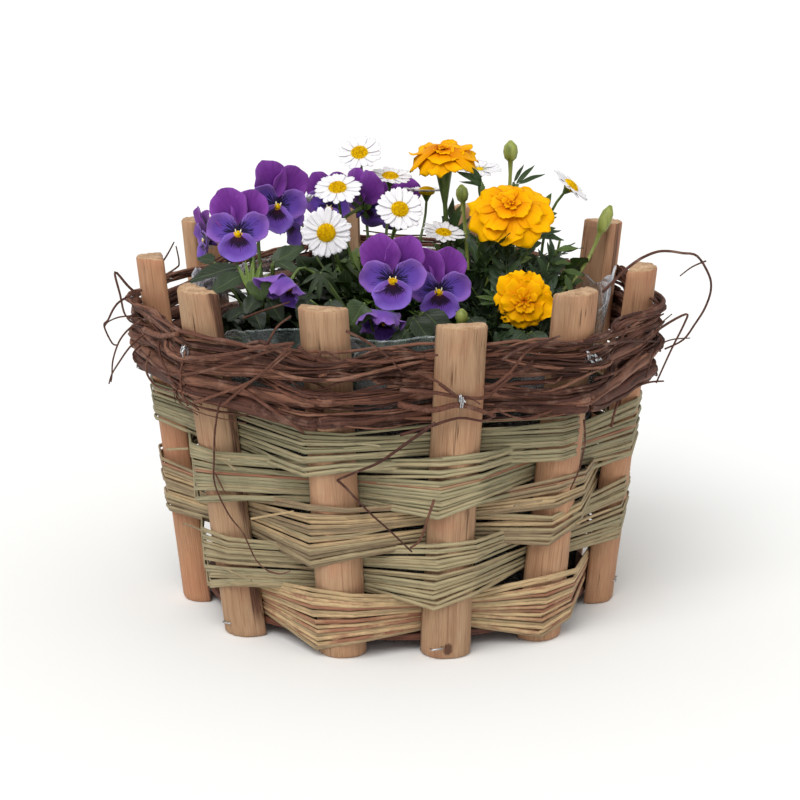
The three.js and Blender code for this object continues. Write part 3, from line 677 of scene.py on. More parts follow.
def fineLine(points, closed):
    count = len(points)
    spans = count if closed else count - 1
    line = []
    for i in range(spans):
        start, end = points[i], points[(i + 1) % count]
        steps = max(2, round((end - start).length / 7))
        line += [start.lerp(end, step / steps) for step in range(steps)]
    line.append(points[0] if closed else points[-1])
    return line


# A strand's end that has come loose and stands off the band
def looseEnd(bm, band, draws):
    spots = [k for k, letter in enumerate(band["way"]) if letter == "o"]
    number = (band["first"] - 1 + draws.choice(spots)) % len(stakeTable) + 1
    z = band["middle"] + draws.uniform(-0.9, 0.9) * band["outside"]
    hand = draws.choice((-1, 1))
    start = draws.uniform(4, 24)
    long = draws.uniform(14, 30)
    lift = draws.uniform(-7, 5)
    away = draws.uniform(1, 7)
    clear = strand["clearance"] + 2.6
    points = []
    for step in range(5):
        share = step / 4
        along = start + long * share
        fall = -0.5 * max(0, along - 10)
        outward = clear + away * share**1.6 + fall * 0.3
        points.append(besideStake(number, hand * along, outward, z + lift * share))
    tone = band["tone"] + draws.uniform(0, 0.3)
    addTube(bm, smoothLine(points, 3), strand["width"] * 0.3, 5, 0.6, tone=tone, radial=True)


def makeBand(index):
    band = bandTable[index]
    draws = random.Random(100 + index)
    bm = newShape()
    flat = strand["thickness"] / strand["width"]
    for k in range(band["strands"]):
        level = -1 + 2 * k / (band["strands"] - 1)
        line = fineLine(strandLine(band, level, draws), not band["open"])
        width = strand["width"] * draws.uniform(0.8, 1.2)
        uneven = [noise.noise(Vector((i * 0.35, k * 3, index))) for i in range(len(line))]
        radii = [width / 2 * (1 + 0.12 * part) for part in uneven]
        tone = band["tone"] + draws.uniform(-0.2, 0.16)
        if k in band["red"]:
            tone = 1.1
        addTube(bm, line, radii, strand["sides"], flat, tone=tone, radial=True)
    for _ in range(strand["looseEnds"]):
        looseEnd(bm, band, draws)
    finishPiece(bm, f"rushBand{index + 1}", [splitRush], [f"rush_band_{index + 1}"])


for index in range(len(bandTable)):
    makeBand(index)
print("rush bands made")

# Vines: thick peeled stems, thinner ones and loose twigs, wound round the stakes above the rush

vineWay = "oooioooioi"
# each layer: heights of its loose stems, numbers of their bundles and of snapped twigs, and the stems that
# go all round, with height, radius, sway up and down, sways in one round and where they begin
vineTable = {
    "lower": {
        "heights": (144, 166),
        "bundles": 6,
        "snapped": 8,
        "stems": [
            (151.5, 4.2, 1.8, 3, 0),
            (161.2, 4.3, 2.4, 4, 2),
            (156, 1.9, 6.5, 2, 1),
            (155, 1.2, 6, 3, 4),
        ],
    },
    "middle": {
        "heights": (162, 180),
        "bundles": 6,
        "snapped": 10,
        "stems": [(171.5, 3.4, 3.0, 5, 1), (168, 1.5, 4.5, 3, 3), (175, 1.3, 4, 2, 0.4)],
    },
    "upper": {
        "heights": (174, 194),
        "bundles": 9,
        "snapped": 26,
        "stems": [
            (180, 2.4, 2.4, 3, 2),
            (184.5, 1.9, 2.8, 4, 0.5),
            (182, 1.2, 5, 5, 3),
            (187, 1.6, 3.2, 3, 4),
            (188, 1.0, 4.4, 2, 1.5),
        ],
    },
}
thickStem = 3  # stems with a larger radius are thick ones
barkedStem = 1.8  # and those above this radius carry strips of bark
vineMiddle = 170  # height at which the bearing of a stake is taken for the vines


def barkFinish():
    material, tree, shader = startFinish("vineBark", Roughness=0.7, Specular_IOR_Level=0.25)
    surface = surfacePlace(tree)
    fibre = grainOn(tree, surface, (8, 55, 1), 5, 0.65)
    strips = grainOn(tree, surface, (4, 14, 1), 4, offset=(2, 0, 0))
    patch = noiseOn(tree, objectPlace(tree), 70, 4, 0.65)
    mottled = maths(tree, "MULTIPLY_ADD", toneOf(tree), 0.6, maths(tree, "MULTIPLY", strips, 0.5))
    colour = ramp(tree, mottled, [(0.15, "#2b1813"), (0.38, "#4f3027"), (0.6, "#714838"), (0.85, "#986c56")])
    colour = mixed(tree, ramp(tree, fibre, [(0.36, 0.8), (0.52, 0.0)]), colour, tint("#22120e"))
    colour = mixed(tree, ramp(tree, patch, [(0.54, 0.0), (0.72, 0.6)]), colour, tint("#9c7a68"))
    setColour(tree, shader, colour)
    addBump(tree, shader, maths(tree, "MULTIPLY_ADD", strips, 0.6, fibre), 0.9, 0.0007)
    return material


vineBark = barkFinish()


# at a stake, how far the stems near a height (in centimetres) are moved up or down
stemShift = {(2, 15): 5, (2, 16): 4, (3, 16): 1, (5, 16): -4, (5, 15): -3, (3, 17): 9, (5, 17): 5, (5, 18): 4}
woodGaps = {3: (168.5, 177), 5: (162.5, 171)}  # heights where the wood of a stake shows between stems


def vineLine(height, radius, wave, turns, phase, seed, way=vineWay):
    reach = basket["stakeDepth"] / 2 + basket["gap"] + radius
    points = []
    for k, letter in enumerate(way):
        inside = letter == "i"
        for along in (-15, 15) if inside else (-11, 0, 11):
            outward = -reach if inside else reach + (0.6 if along == 0 else -0.8)
            point = besideStake(k + 1, along, outward, height)
            point.z += wave * math.sin(turns * math.atan2(point.x, -point.y) + phase)
            point.z += stemShift.get((k + 1, round(height / 10)), 0)
            points.append(point)
    line = smoothLine(points, 6, closed=True)
    line = wander(line[:-1], 1.2 + 0.2 * wave, 22, seed)
    return [*line, line[0]]


def stemRadii(count, radius, seed, taper=0.0):
    radii = []
    for i in range(count):
        share = i / max(count - 1, 1)
        knot = 0.5 * max(0, noise.noise(Vector((i * 0.5, seed * 3.3, 0)))) ** 2
        swell = 0.9 + 0.2 * noise.noise(Vector((i * 0.22, seed, 2.5))) + knot
        radii.append(radius * swell * (1 - taper * share))
    return radii


# Strips of bark that run along a thick stem, now and then lifting off it
def barkStrips(bm, line, radius, draws, count):
    for _ in range(count):
        start = draws.randrange(len(line) - 12)
        long = draws.randrange(14, 46)
        turn = draws.uniform(0, fullTurn)
        twist = draws.uniform(-0.12, 0.12)
        lift = draws.uniform(0.0, 1.1)
        points = []
        for i, point in enumerate(line[start : start + long]):
            out = Vector((point.x, point.y, 0)).normalized()
            share = i / long
            reach = radius * 0.86 + 0.3 + lift * math.sin(share * math.pi * 3) ** 2
            angle = turn + twist * i
            rise = Vector((0, 0, reach * math.sin(angle)))
            points.append(point + out * reach * 0.85 * math.cos(angle) + rise)
        if len(points) > 3:
            radii = stemRadii(len(points), draws.uniform(0.5, 1.3), turn)
            addTube(bm, points, radii, 5, 0.6, tone=draws.random(), radial=True)


def degreesFromStake(number, bearing):
    return degreesApart(stakeBearing(number, vineMiddle), bearing)


# heights above which the faces of the front stakes stay clear of loose stems
clearFaces = {2: 177, 3: 186, 4: 184, 5: 190}


def vineTop(bearing):  # how high the loose stems reach
    top = vineTable["upper"]["heights"][1]
    for number, height in clearFaces.items():
        top = min(top, height + max(0, degreesFromStake(number, bearing) - 7) * 1.2)
    return top


def clearOfWood(z, bearing):
    for number, (bottom, top) in woodGaps.items():
        if degreesFromStake(number, bearing) < 10 and bottom < z < top:
            return bottom if z < (bottom + top) / 2 else top
    return z


def showsWood(bearing):  # whether a stake whose face is in front of the vines stands there
    inFront = [k + 1 for k, letter in enumerate(vineWay) if letter == "i"]
    return any(degreesFromStake(number, bearing) < 11 for number in inFront)


def nearestStake(bearing, z):  # degrees to it, and its place in the ring from 0
    return min((degreesApart(stakeBearing(k + 1, z), bearing), k) for k in range(len(stakeTable)))


# A bundle of loose stems along part of the ring that sways up and down, its stems splaying towards their ends
def looseBundle(bm, draws, start, span, heights, radius, stems, seed):
    count = max(int(span / 8), 5)
    sway, tide = draws.uniform(0, fullTurn), draws.uniform(1.5, 5)
    base, climb = draws.uniform(*heights), draws.uniform(-15, 15)
    for stem in range(stems):
        points = []
        shift, splay = draws.uniform(-2.2, 2.2), draws.uniform(-7, 7)
        depth = draws.uniform(0, 4)
        begin = start + draws.uniform(-8, 8)
        for i in range(count + 1):
            share = i / count
            bearing = begin + span * share
            ends = abs(2 * share - 1) ** 3
            z = base + climb * (share - 0.5) + 4.5 * math.sin(sway + tide * math.radians(bearing))
            z = z + shift + splay * ends + draws.uniform(-1.2, 1.2)
            z = clearOfWood(min(z, vineTop(bearing)), bearing)
            away, near = nearestStake(bearing, z)
            side = -1 if vineWay[near] == "i" else 1
            reach = basket["stakeDepth"] / 2 + radius + 3.2
            outward = side * reach * math.cos(math.radians(min(away / 16, 1) * 90))
            outward += draws.uniform(-1, 1.5) + depth * (1 - min(away / 9, 1)) * side + depth * 0.5
            if away < 7 and abs(outward) < 11:
                outward = side * 11.5
            points.append(turnedPoint(bearing, ringRadius(z) + outward, z))
        line = smoothLine(points, 3)
        thick = radius * draws.uniform(0.6, 1.15)
        addTube(bm, line, stemRadii(len(line), thick, seed + stem, 0.4), 5, tone=draws.uniform(0.0, 0.85))


# Twigs seen in front of a pale ground: radius, and for each bend its pixel and the depth it is put at
seenTwigs = {
    "upper": [
        # the loop at the right and the spur inside it
        (1.0, [(603, 292, -76), (614, 281, -70), (624, 271, -66), (640, 259, -60), (656, 252, -54),
               (668, 251, -48), (682, 253, -38), (697, 256, -30), (709, 275, -16), (711, 290, -10),
               (705, 308, -8), (695, 324, -10), (683, 340, -14), (665, 349, -24)]),
        (0.6, [(706, 261, -26), (692, 267, -30), (680, 276, -34)]),
        # the bent twigs below it
        (0.9, [(640, 345, -62), (662, 327, -58), (686, 314, -55), (684, 324, -55), (671, 350, -56),
               (656, 383, -60)]),
        (0.6, [(652, 356, -56), (662, 340, -54), (655, 330, -52), (672, 314, -50)]),
        (0.6, [(646, 378, -58), (655, 350, -54), (670, 340, -50), (690, 338, -44)]),
        (0.7, [(650, 298, -44), (662, 306, -42), (665, 310, -42)]),
        # the fork and the arcs at the left
        (0.9, [(139, 296, -40), (128, 286, -42), (115, 272, -44), (120, 294, -46), (126, 316, -46),
               (140, 318, -44)]),
        (0.8, [(142, 290, -38), (122, 300, -37), (114, 308, -36), (108, 320, -35), (104, 326, -34),
               (112, 343, -34), (118, 345, -34)]),
        (0.6, [(137, 316, -30), (120, 317, -29), (108, 322, -28), (104, 328, -28)]),
        (0.7, [(141, 320, -45), (128, 330, -47), (119, 342, -48), (113, 360, -49), (112, 375, -50),
               (111, 382, -50)]),
        # the tips that stand up at the left, and a twig in front of the liner
        (0.7, [(157, 270, 18), (167, 255, 20), (174, 242, 24)]),
        (0.7, [(158, 279, 18), (176, 268, 20), (179, 262, 22), (176, 246, 24)]),
        (0.8, [(243, 318, -108), (262, 311, -106), (290, 302, -104)]),
    ],
    "middle": [
        # an arc and a loop at the left, and a stub at the right
        (0.7, [(146, 332, -47), (130, 347, -52), (120, 361, -54), (112, 374, -50), (109, 384, -50)]),
        (0.7, [(140, 346, -40), (133, 354, -38), (139, 363, -38), (150, 363, -40)]),
        (0.8, [(636, 386, -62), (650, 382, -62), (664, 381, -62)]),
    ],
}
# Twigs over the weave and the vines: radius, distance outward of the ring and pixels of their bends
twigsOver = {
    "lower": [
        (0.7, 14.5, [(221, 398), (219, 405), (215, 430), (214, 459), (215, 485), (229, 515), (243, 533),
                     (256, 560), (268, 571)]),
        (0.6, 14.5, [(215, 473), (220, 483), (225, 493)]),
        (1.1, 12.5, [(435, 423), (407, 443), (380, 462), (361, 470), (337, 480)]),
        (0.8, 15.5, [(337, 480), (345, 487), (358, 501), (372, 515), (390, 531), (412, 552)]),
        (0.7, 14.5, [(584, 420), (585, 441), (582, 458), (579, 470), (570, 490)]),
        (0.9, 15.5, [(434, 500), (428, 518), (420, 540), (410, 548)]),
        (0.6, 14.5, [(268, 571), (280, 574), (290, 571)]),
        (1.0, 10.5, [(400, 435), (428, 427), (459, 418), (484, 421), (495, 414)]),
        (2.0, 11.5, [(398, 404), (431, 410), (456, 405), (473, 408), (495, 416)]),
        (0.9, 14.5, [(611, 427), (619, 399), (634, 379)]),
        (1.1, 16.5, [(194, 403), (222, 393), (250, 382), (270, 368), (291, 351)]),
        (1.2, 17.0, [(243, 389), (263, 403), (281, 416), (304, 433)]),
        (0.9, 17.5, [(253, 389), (274, 399), (291, 410)]),
        (0.9, 17.5, [(158, 341), (161, 358), (171, 379), (182, 396), (199, 410)]),
        (0.8, 17.5, [(185, 352), (181, 372), (182, 392), (188, 406)]),
    ],
    "middle": [
        (1.3, 11.0, [(400, 390), (417, 391), (437, 393), (459, 397), (482, 398), (496, 390), (512, 376),
                     (532, 367)]),
        (0.8, 11.5, [(439, 384), (456, 396), (468, 397), (480, 404)]),
        (1.0, 15.0, [(484, 387), (496, 384), (512, 370), (527, 351), (543, 342), (557, 337)]),
        (1.2, 17.0, [(140, 351), (168, 373), (205, 371), (250, 357), (291, 345)]),
        (1.0, 17.5, [(222, 406), (243, 388), (264, 371), (292, 345)]),
        (1.0, 15.0, [(594, 379), (620, 370), (642, 351)]),
        (0.9, 15.0, [(346, 331), (366, 341), (383, 353), (402, 371)]),
        (1.1, 15.5, [(346, 360), (380, 362), (417, 357), (438, 355)]),
        (0.9, 15.5, [(417, 372), (438, 382), (456, 395)]),
        (0.8, 17.5, [(150, 352), (146, 370), (156, 386), (176, 392)]),
    ],
    "upper": [
        (1.4, 17.0, [(151, 341), (181, 357), (222, 355), (270, 346), (294, 343)]),
        (1.1, 17.5, [(298, 346), (312, 357), (325, 352), (340, 360)]),
        (0.8, 15.0, [(267, 345), (277, 327), (291, 316)]),
        (2.6, 12.5, [(137, 300), (135, 317), (146, 330), (162, 336), (178, 334)]),
        (1.0, 14.5, [(580, 351), (619, 342), (656, 342), (648, 352)]),
        (1.0, 15.5, [(502, 360), (520, 349), (546, 341), (560, 336)]),
    ],
}


def sagBetween(point):  # stems run straight from stake to stake, so they lie further in between two of them
    away, _ = nearestStake(math.degrees(math.atan2(point.x, -point.y)), point.z)
    return 7 * min(away / 18, 1) ** 2


# the search along a sight line: where it starts and ends, in millimetres ahead of the camera, and its steps
search = {"from": 1480, "to": 1760, "steps": 900}


def onWeave(across, down, outward):  # where a pixel's sight line meets the weave, outward of the ring
    eye, ray = sightLine(across, down)
    for step in range(search["steps"]):
        point = eye + ray * lerp(search["from"], search["to"], step / search["steps"])
        if math.hypot(point.x, point.y) < ringRadius(point.z) + outward - sagBetween(point):
            return point
    return eye + ray * cameraView["distance"]


def makeVines(name, layer, seed):
    draws = random.Random(seed)
    bm = newShape()
    for k, (height, radius, wave, turns, phase) in enumerate(layer["stems"]):
        line = vineLine(height, radius, wave, turns, phase, seed + k)
        thick = radius > thickStem
        sides, flat = (9, 0.8) if thick else (7, 0.95)
        radii = stemRadii(len(line), radius, seed + k)
        addTube(bm, line, radii, sides, flat, tone=draws.uniform(0.3, 0.8), radial=thick)
        if radius > barkedStem:
            barkStrips(bm, line, radius, draws, round(radius * 7))
    for k in range(layer["bundles"]):
        radius = draws.uniform(0.6, 1.5)
        start, span = draws.uniform(0, 360), draws.uniform(50, 150)
        stems = draws.randrange(3, 7)
        looseBundle(bm, draws, start, span, layer["heights"], radius, stems, seed + 10 * k)
    for radius, bends in seenTwigs.get(name, []):
        line = smoothLine([seenAt(*bend) for bend in bends], 4)
        addTaperedTube(bm, line, radius, radius * 0.6, 5, 0.35)
    for radius, outward, bends in twigsOver[name]:
        line = smoothLine([onWeave(*bend, outward) for bend in bends], 4)
        addTaperedTube(bm, line, radius, radius * 0.6, 6, draws.uniform(0.2, 0.7))
    # short snapped twigs that stand off the ring all round
    for _ in range(layer["snapped"]):
        bearing = draws.uniform(0, 360)
        z = draws.uniform(*layer["heights"])
        if showsWood(bearing) or z > vineTop(bearing) - 4:
            continue
        root = turnedPoint(bearing, ringRadius(z) + draws.uniform(-4, 8), z)
        reach = draws.uniform(12, 30)
        swing = draws.choice((-1, 1)) * draws.uniform(15, 60)
        points = [root]
        for step in range(1, 4):
            share = step / 3
            out = lerp(2, draws.uniform(2, 9), share)
            lift = draws.uniform(-4, 9) * share
            turned = bearing + math.degrees(reach * share / 150) * swing / 30
            points.append(turnedPoint(turned, ringRadius(z) + 6 + out, z + lift))
        addTaperedTube(bm, smoothLine(points, 3), 1.0, 0.5, 5, draws.uniform(0.1, 0.5))
    finishPiece(bm, f"vineRing{name.capitalize()}", [vineBark], [f"vine_ring_{name}"])


for index, (name, layer) in enumerate(vineTable.items()):
    makeVines(name, layer, 200 + 30 * index)
print("vines made")

# Ties and staples of thin wire that hold the stems: pixel and distance outward; stake, place along and height

wire = {"radius": 0.45, "stapleRadius": 0.55, "loop": 3.6}
tieSpots = [(461, 402, 12.5), (183, 353, 17), (588, 357, 15), (592, 366, 15.5), (596, 361, 16)]
stapleSpots = [(2, -2, 7), (4, -9, 7), (6, 1, 12), (8, 3, 8), (10, -3, 9)]


def wireFinish():
    material, tree, shader = startFinish("dullWire", Roughness=0.32, Metallic=1.0)
    wear = noiseOn(tree, objectPlace(tree), 600, 3, 0.6)
    setColour(tree, shader, ramp(tree, wear, [(0.35, "#8e8e90"), (0.6, "#d3d4d6")]))
    return material


def makeWires():
    draws = random.Random(77)
    bm = newShape()
    for spot in tieSpots:
        middle = onWeave(*spot)
        out = Vector((middle.x, middle.y, 0)).normalized()
        side = Vector((-out.y, out.x, 0))

        def wirePoint(outward, lift, along):
            return middle + out * outward + Vector((0, 0, lift)) + side * along

        line = []
        for step in range(26):
            turn = fullTurn * step / 11
            reach = wire["loop"] * (1 + 0.15 * math.sin(step))
            outward = math.cos(turn) * reach * 0.6 - 1.5
            line.append(wirePoint(outward, math.sin(turn) * reach, step * 0.09 - 1))
        line += [wirePoint(1.2 + 0.6 * k, draws.uniform(0, 2), 1.2 + 0.5 * k) for k in range(3)]
        addTube(bm, smoothLine(line, 2), wire["radius"], 6)
    for number, along, z in stapleSpots:
        face = basket["stakeDepth"] / 2 + 0.5
        legs = [(-3.4, face - 2.5, 0), (-3.2, face + 0.3, 0), (3.2, face + 0.3, 0.7), (3.4, face - 2.5, 0.7)]
        line = [besideStake(number, along + shift, outward, z + lift) for shift, outward, lift in legs]
        addTube(bm, fineLine(line, False), wire["stapleRadius"], 6)
    finishPiece(bm, "wireTies", [wireFinish()])


makeWires()

# Liner: a crumpled film cup, its rim pulled up in folds

liner = {
    "floor": (112.5, 11.3),  # radius and height
    "soil": (124.5, 152),
    "rim": (127, 189),
    "floorShare": 0.1,  # shares of the rows that end at the floor's edge and at the soil
    "soilShare": 0.25,
    "wall": 0.3,
    "columns": 420,
    "rows": 40,
    "calm": (-16, 48, 0.8),  # where the film is smoother: bearing, width and share
    "flare": (89, 9, 7),  # where the rim leans out: bearing, width and reach
}
# folds of the rim: bearing, width and rise
linerFolds = [(89, 8, 22), (38, 26, -9), (-22, 16, 9), (-95, 12, 9), (-60, 7, -8), (10, 9, 3)]
# where the film lies double and looks whiter, partly doubled film and partly a painted highlight on the
# folds: bearing, width and share
doubledAndLitFolds = [(89, 11, 1), (-92, 16, 1), (-62, 12, 1), (-122, 16, 0.6)]


def rimRise(bearing):
    folds = sum(rise * nearBearing(bearing, at, width) for at, width, rise in linerFolds)
    wave = 3 * math.sin(math.radians(3 * bearing + 40)) + 2 * math.sin(math.radians(7 * bearing))
    return wave + folds


def filmFinish():
    material, tree, shader = startFinish("clearFilm", Roughness=0.09, IOR=1.5, Specular_IOR_Level=0.9)
    place = objectPlace(tree)
    drift = addNode(tree, "TexNoise", {"Vector": place, "Scale": 30}).outputs["Color"]
    warped = mixed(tree, 0.12, place, drift)
    # broad and small cells between creases
    cells, small = [
        addNode(tree, "TexVoronoi", {"Vector": warped, "Scale": scale}, feature="DISTANCE_TO_EDGE").outputs[0]
        for scale in (34, 190)
    ]
    soft = noiseOn(tree, place, 26, 3, 0.6)
    broken = ramp(tree, noiseOn(tree, place, 60, 2), [(0.5, 0.0), (0.64, 0.8)])
    # painted highlight: thin white lines along the creases, which also make the film less clear there
    creaseHighlight = maths(tree, "MULTIPLY", ramp(tree, cells, [(0.0, 1.0), (0.05, 0.0)]), broken)
    tinted = ramp(tree, soft, [(0.35, "#6d7a77"), (0.5, "#93a09d"), (0.65, "#b9b9c2")])
    # the folds are whitened: doubled film, and partly a painted highlight
    tinted = mixed(tree, maths(tree, "MULTIPLY", toneOf(tree), 1.4), tinted, tint("#eceef6"))
    setColour(tree, shader, mixed(tree, creaseHighlight, tinted, tint("#f4f8f8")))
    veil = ramp(tree, soft, [(0.35, 0.07), (0.55, 0.15), (0.7, 0.32)])
    # the cut edge shows as a pale line
    upward = addNode(tree, "SeparateXYZ", {0: surfacePlace(tree)}).outputs[1]
    veil = maths(tree, "MAXIMUM", veil, ramp(tree, upward, [(0.972, 0.0), (0.985, 0.5)]))
    # in the folds of the rim the film lies double and carries painted highlight along its creases, and low
    # down it clings to the dark soil
    height = addNode(tree, "SeparateXYZ", {0: place}).outputs[2]
    seen = maths(tree, "MAXIMUM", veil, maths(tree, "MULTIPLY", creaseHighlight, 0.7))
    folded = maths(tree, "MULTIPLY", toneOf(tree), maths(tree, "MULTIPLY_ADD", creaseHighlight, 0.25, 0.62))
    seen = maths(tree, "MAXIMUM", seen, folded)
    clung = ramp(tree, maths(tree, "MULTIPLY", height, 5.0), [(0.74, 0.3), (0.82, 1.0)])
    tree.links.new(maths(tree, "MULTIPLY", seen, clung), shader.inputs["Alpha"])
    folds = maths(tree, "MULTIPLY_ADD", cells, 1.6, maths(tree, "MULTIPLY", small, 0.12))
    addBump(tree, shader, folds, 0.65, 0.006)
    return material


def makeLiner():
    rimRadius, rimHeight = liner["rim"]
    soilRadius, soilHeight = liner["soil"]
    floorRadius, floorHeight = liner["floor"]
    floorShare, soilShare = liner["floorShare"], liner["soilShare"]
    calmAt, calmWidth, calmShare = liner["calm"]
    flareAt, flareWidth, flareReach = liner["flare"]

    def place(u, v):
        bearing = u * 360
        ring = turnedPoint(bearing, 1, 0)
        if v < floorShare:
            share = v / floorShare
            return Vector((ring.x * floorRadius * share, ring.y * floorRadius * share, floorHeight))
        if v < soilShare:
            share = (v - floorShare) / (soilShare - floorShare)
            radius = lerp(floorRadius, soilRadius, share)
            return Vector((ring.x * radius, ring.y * radius, lerp(floorHeight, soilHeight, share)))
        share = (v - soilShare) / (1 - soilShare)
        top = rimHeight + rimRise(bearing)
        free = min(share * 1.6, 1)
        spot = Vector((ring.x * 6, ring.y * 6, share * 0.8))
        near = noise.voronoi(spot + noise.noise_vector(spot * 0.8) * 0.7)[0]
        calm = 1 - calmShare * nearBearing(bearing, calmAt, calmWidth)
        facet = (near[1] - near[0]) * 3.4 * calm
        crumple = noise.fractal(spot * 1.3, 0.7, 2.2, 4) * 2.6 * calm
        jag = 2.6 * noise.noise(Vector((ring.x * 16, ring.y * 16, 3)))
        jag = (jag + 1.4 * noise.noise(Vector((ring.x * 45, ring.y * 45, 8)))) * calm
        flare = flareReach * nearBearing(bearing, flareAt, flareWidth) * share
        radius = lerp(soilRadius, rimRadius, share) + (crumple - facet) * free + flare
        return Vector((ring.x * radius, ring.y * radius, lerp(soilHeight, top + jag, share)))

    bm = newShape()
    addSheet(bm, liner["columns"], liner["rows"], place, tone=0)
    toneLayer = bm.verts.layers.float["tone"]
    for vert in bm.verts:
        # tone says how white the film is: doubled film, and a painted highlight on the folds
        bearing = math.degrees(math.atan2(vert.co.x, -vert.co.y))
        folds = sum(share * nearBearing(bearing, at, width) for at, width, share in doubledAndLitFolds)
        vert[toneLayer] = folds * min(max(vert.co.z - 165, 0) / 25, 1)
    finishPiece(bm, "filmLiner", [filmFinish()], ["liner"], thickness=liner["wall"])


makeLiner()

# Soil: a low mound of dark crumbs

soil = {
    "height": 152,
    "mound": 5,
    "low": 12.4,
    "radius": 123.4,
    "foot": 111.4,
    "footShare": 0.15,  # shares of the rows that end at the foot's edge and at the rim
    "rimShare": 0.3,
    "crumbs": 240,
}


def soilFinish():
    material, tree, shader = startFinish("darkSoil", Roughness=0.95)
    place = objectPlace(tree)
    crumbs = addNode(tree, "TexVoronoi", {"Vector": place, "Scale": 260})
    fine = noiseOn(tree, place, 500, 4, 0.7)
    colour = ramp(tree, fine, [(0.3, "#15100b"), (0.55, "#2b2018"), (0.8, "#4b3a2a")])
    setColour(tree, shader, mixed(tree, 0.35, colour, crumbs.outputs["Color"], "MULTIPLY"))
    addBump(tree, shader, maths(tree, "SUBTRACT", fine, crumbs.outputs["Distance"]), 1.0, 0.002)
    return material


def soilTop(x, y):
    return soil["height"] + soil["mound"] * (1 - (x * x + y * y) / soil["radius"] ** 2)


def makeSoil():
    footShare, rimShare = soil["footShare"], soil["rimShare"]

    def place(u, v):
        ring = turnedPoint(u * 360, 1, 0)
        if v <= footShare:
            radius = soil["foot"] * v / footShare
            return Vector((ring.x * radius, ring.y * radius, soil["low"]))
        if v <= rimShare:
            share = (v - footShare) / (rimShare - footShare)
            radius = lerp(soil["foot"], soil["radius"], share)
            return Vector((ring.x * radius, ring.y * radius, lerp(soil["low"], soil["height"], share)))
        radius = soil["radius"] * (1 - (v - rimShare) / (1 - rimShare))
        x, y = ring.x * radius, ring.y * radius
        lump = 1.6 * noise.fractal(Vector((x, y, 0)) / 9, 0.8, 2.1, 3) * min(1, (soil["radius"] - radius) / 6)
        return Vector((x, y, soilTop(x, y) + lump))

    bm = newShape()
    addSheet(bm, 96, 40, place)
    draws = random.Random(7)
    for _ in range(soil["crumbs"]):
        radius = soil["radius"] * 0.95 * math.sqrt(draws.random())
        spot = turnedPoint(draws.uniform(0, 360), radius, 0)
        size = draws.uniform(1.0, 3.2)
        turn = Matrix.Rotation(draws.uniform(0, 6), 4, "X") @ Matrix.Rotation(draws.uniform(0, 6), 4, "Y")
        home = Matrix.Translation((spot.x, spot.y, soilTop(spot.x, spot.y) + size * 0.3))
        stretch = Matrix.Diagonal((size, size * draws.uniform(0.4, 0.9), size * draws.uniform(0.3, 0.7), 1))
        bmesh.ops.create_icosphere(bm, subdivisions=1, radius=1, matrix=home @ turn @ stretch)
    finishPiece(bm, "pottingSoil", [soilFinish()], ["soil"])


makeSoil()
print("liner and soil made")

# Blooms, built facing +Z with their tops towards +Y: place, bearing and tilt they face, roll, size, curl

violaTable = [
    ((-95, -45, 237), -3, 14, 0, 0.98, 0.008),
    ((-73, -18, 248), 30, 8, -16, 0.98, 0.01),
    ((-118, -4, 223), -72, -4, 0, 0.76, 0.012),
    ((-68, 14, 231), 66, 10, 0, 0.9, 0.012),
    ((-20, 22, 239), 140, 8, 0, 0.88, 0.016),
    ((-3, -91, 219), 4, 12, 0, 1.0, 0.006),
    ((24, -73, 208), 6, 12, 0, 0.98, 0.006),
    ((-64, -84, 213), -22, -34, 16, 0.76, 0.062),
    ((-9, -87, 194), -10, -46, 6, 0.82, 0.052),
    ((-1, 82, 223), 186, 8, 0, 0.82, 0.014),
    ((-43, 52, 232), -24, 6, 0, 0.84, 0.012),
]
daisyTable = [
    ((-43, -32, 234), 0, 16, 0, 1.04, 0.004),
    ((-37, 8, 253), -6, 62, 0, 1.0, -0.01),
    ((-24, 44, 268), -8, 54, 0, 0.98, 0.006),
    ((1, -8, 243), 12, 42, 0, 1.0, 0.006),
    ((-5, 48, 252), 20, 80, 0, 0.98, 0.01),
    ((18, 58, 241), 170, 82, 0, 0.94, 0.01),
    ((28, 20, 222), 30, 76, 0, 0.94, 0.012),
    ((-61, 38, 236), 200, 78, 0, 0.8, 0.085),
    ((108, 50, 246), 84, 48, 0, 0.96, 0.004),
    ((52, 84, 250), 20, 82, 0, 0.96, 0.008),
]
halfClosed = (8, 10)
marigoldTable = [
    ((28, 30, 270), -8, 74, 0, 0.98, -0.034),
    ((68, -18, 246), 0, 52, 0, 1.1, -0.024),
    ((74, -72, 202), 4, 14, 0, 0.76, -0.006),
]


def curled(x, y, z, curl):  # bends a point of a flat bloom towards its face
    reach = math.hypot(x, y)
    if reach < 1e-6 or abs(curl) < 1e-6:
        return Vector((x, y, z))
    radius = 1 / curl - z
    angle = reach * curl
    across = radius * math.sin(angle) / reach
    return Vector((x * across, y * across, 1 / curl - radius * math.cos(angle)))


def facing(row):
    at, bearing, tilt, roll, size, _ = row
    turn = Matrix.Rotation(math.radians(bearing), 4, "Z") @ Matrix.Rotation(math.radians(90 - tilt), 4, "X")
    turn = turn @ Matrix.Rotation(math.radians(roll), 4, "Z")
    return Matrix.Translation(at) @ turn @ Matrix.Scale(size, 4)


def wayOf(row):  # the way that a bloom faces
    return (facing(row).to_3x3() @ Vector((0, 0, 1))).normalized()


# Violas: two petals above, two beside and a broad one below, round a yellow eye

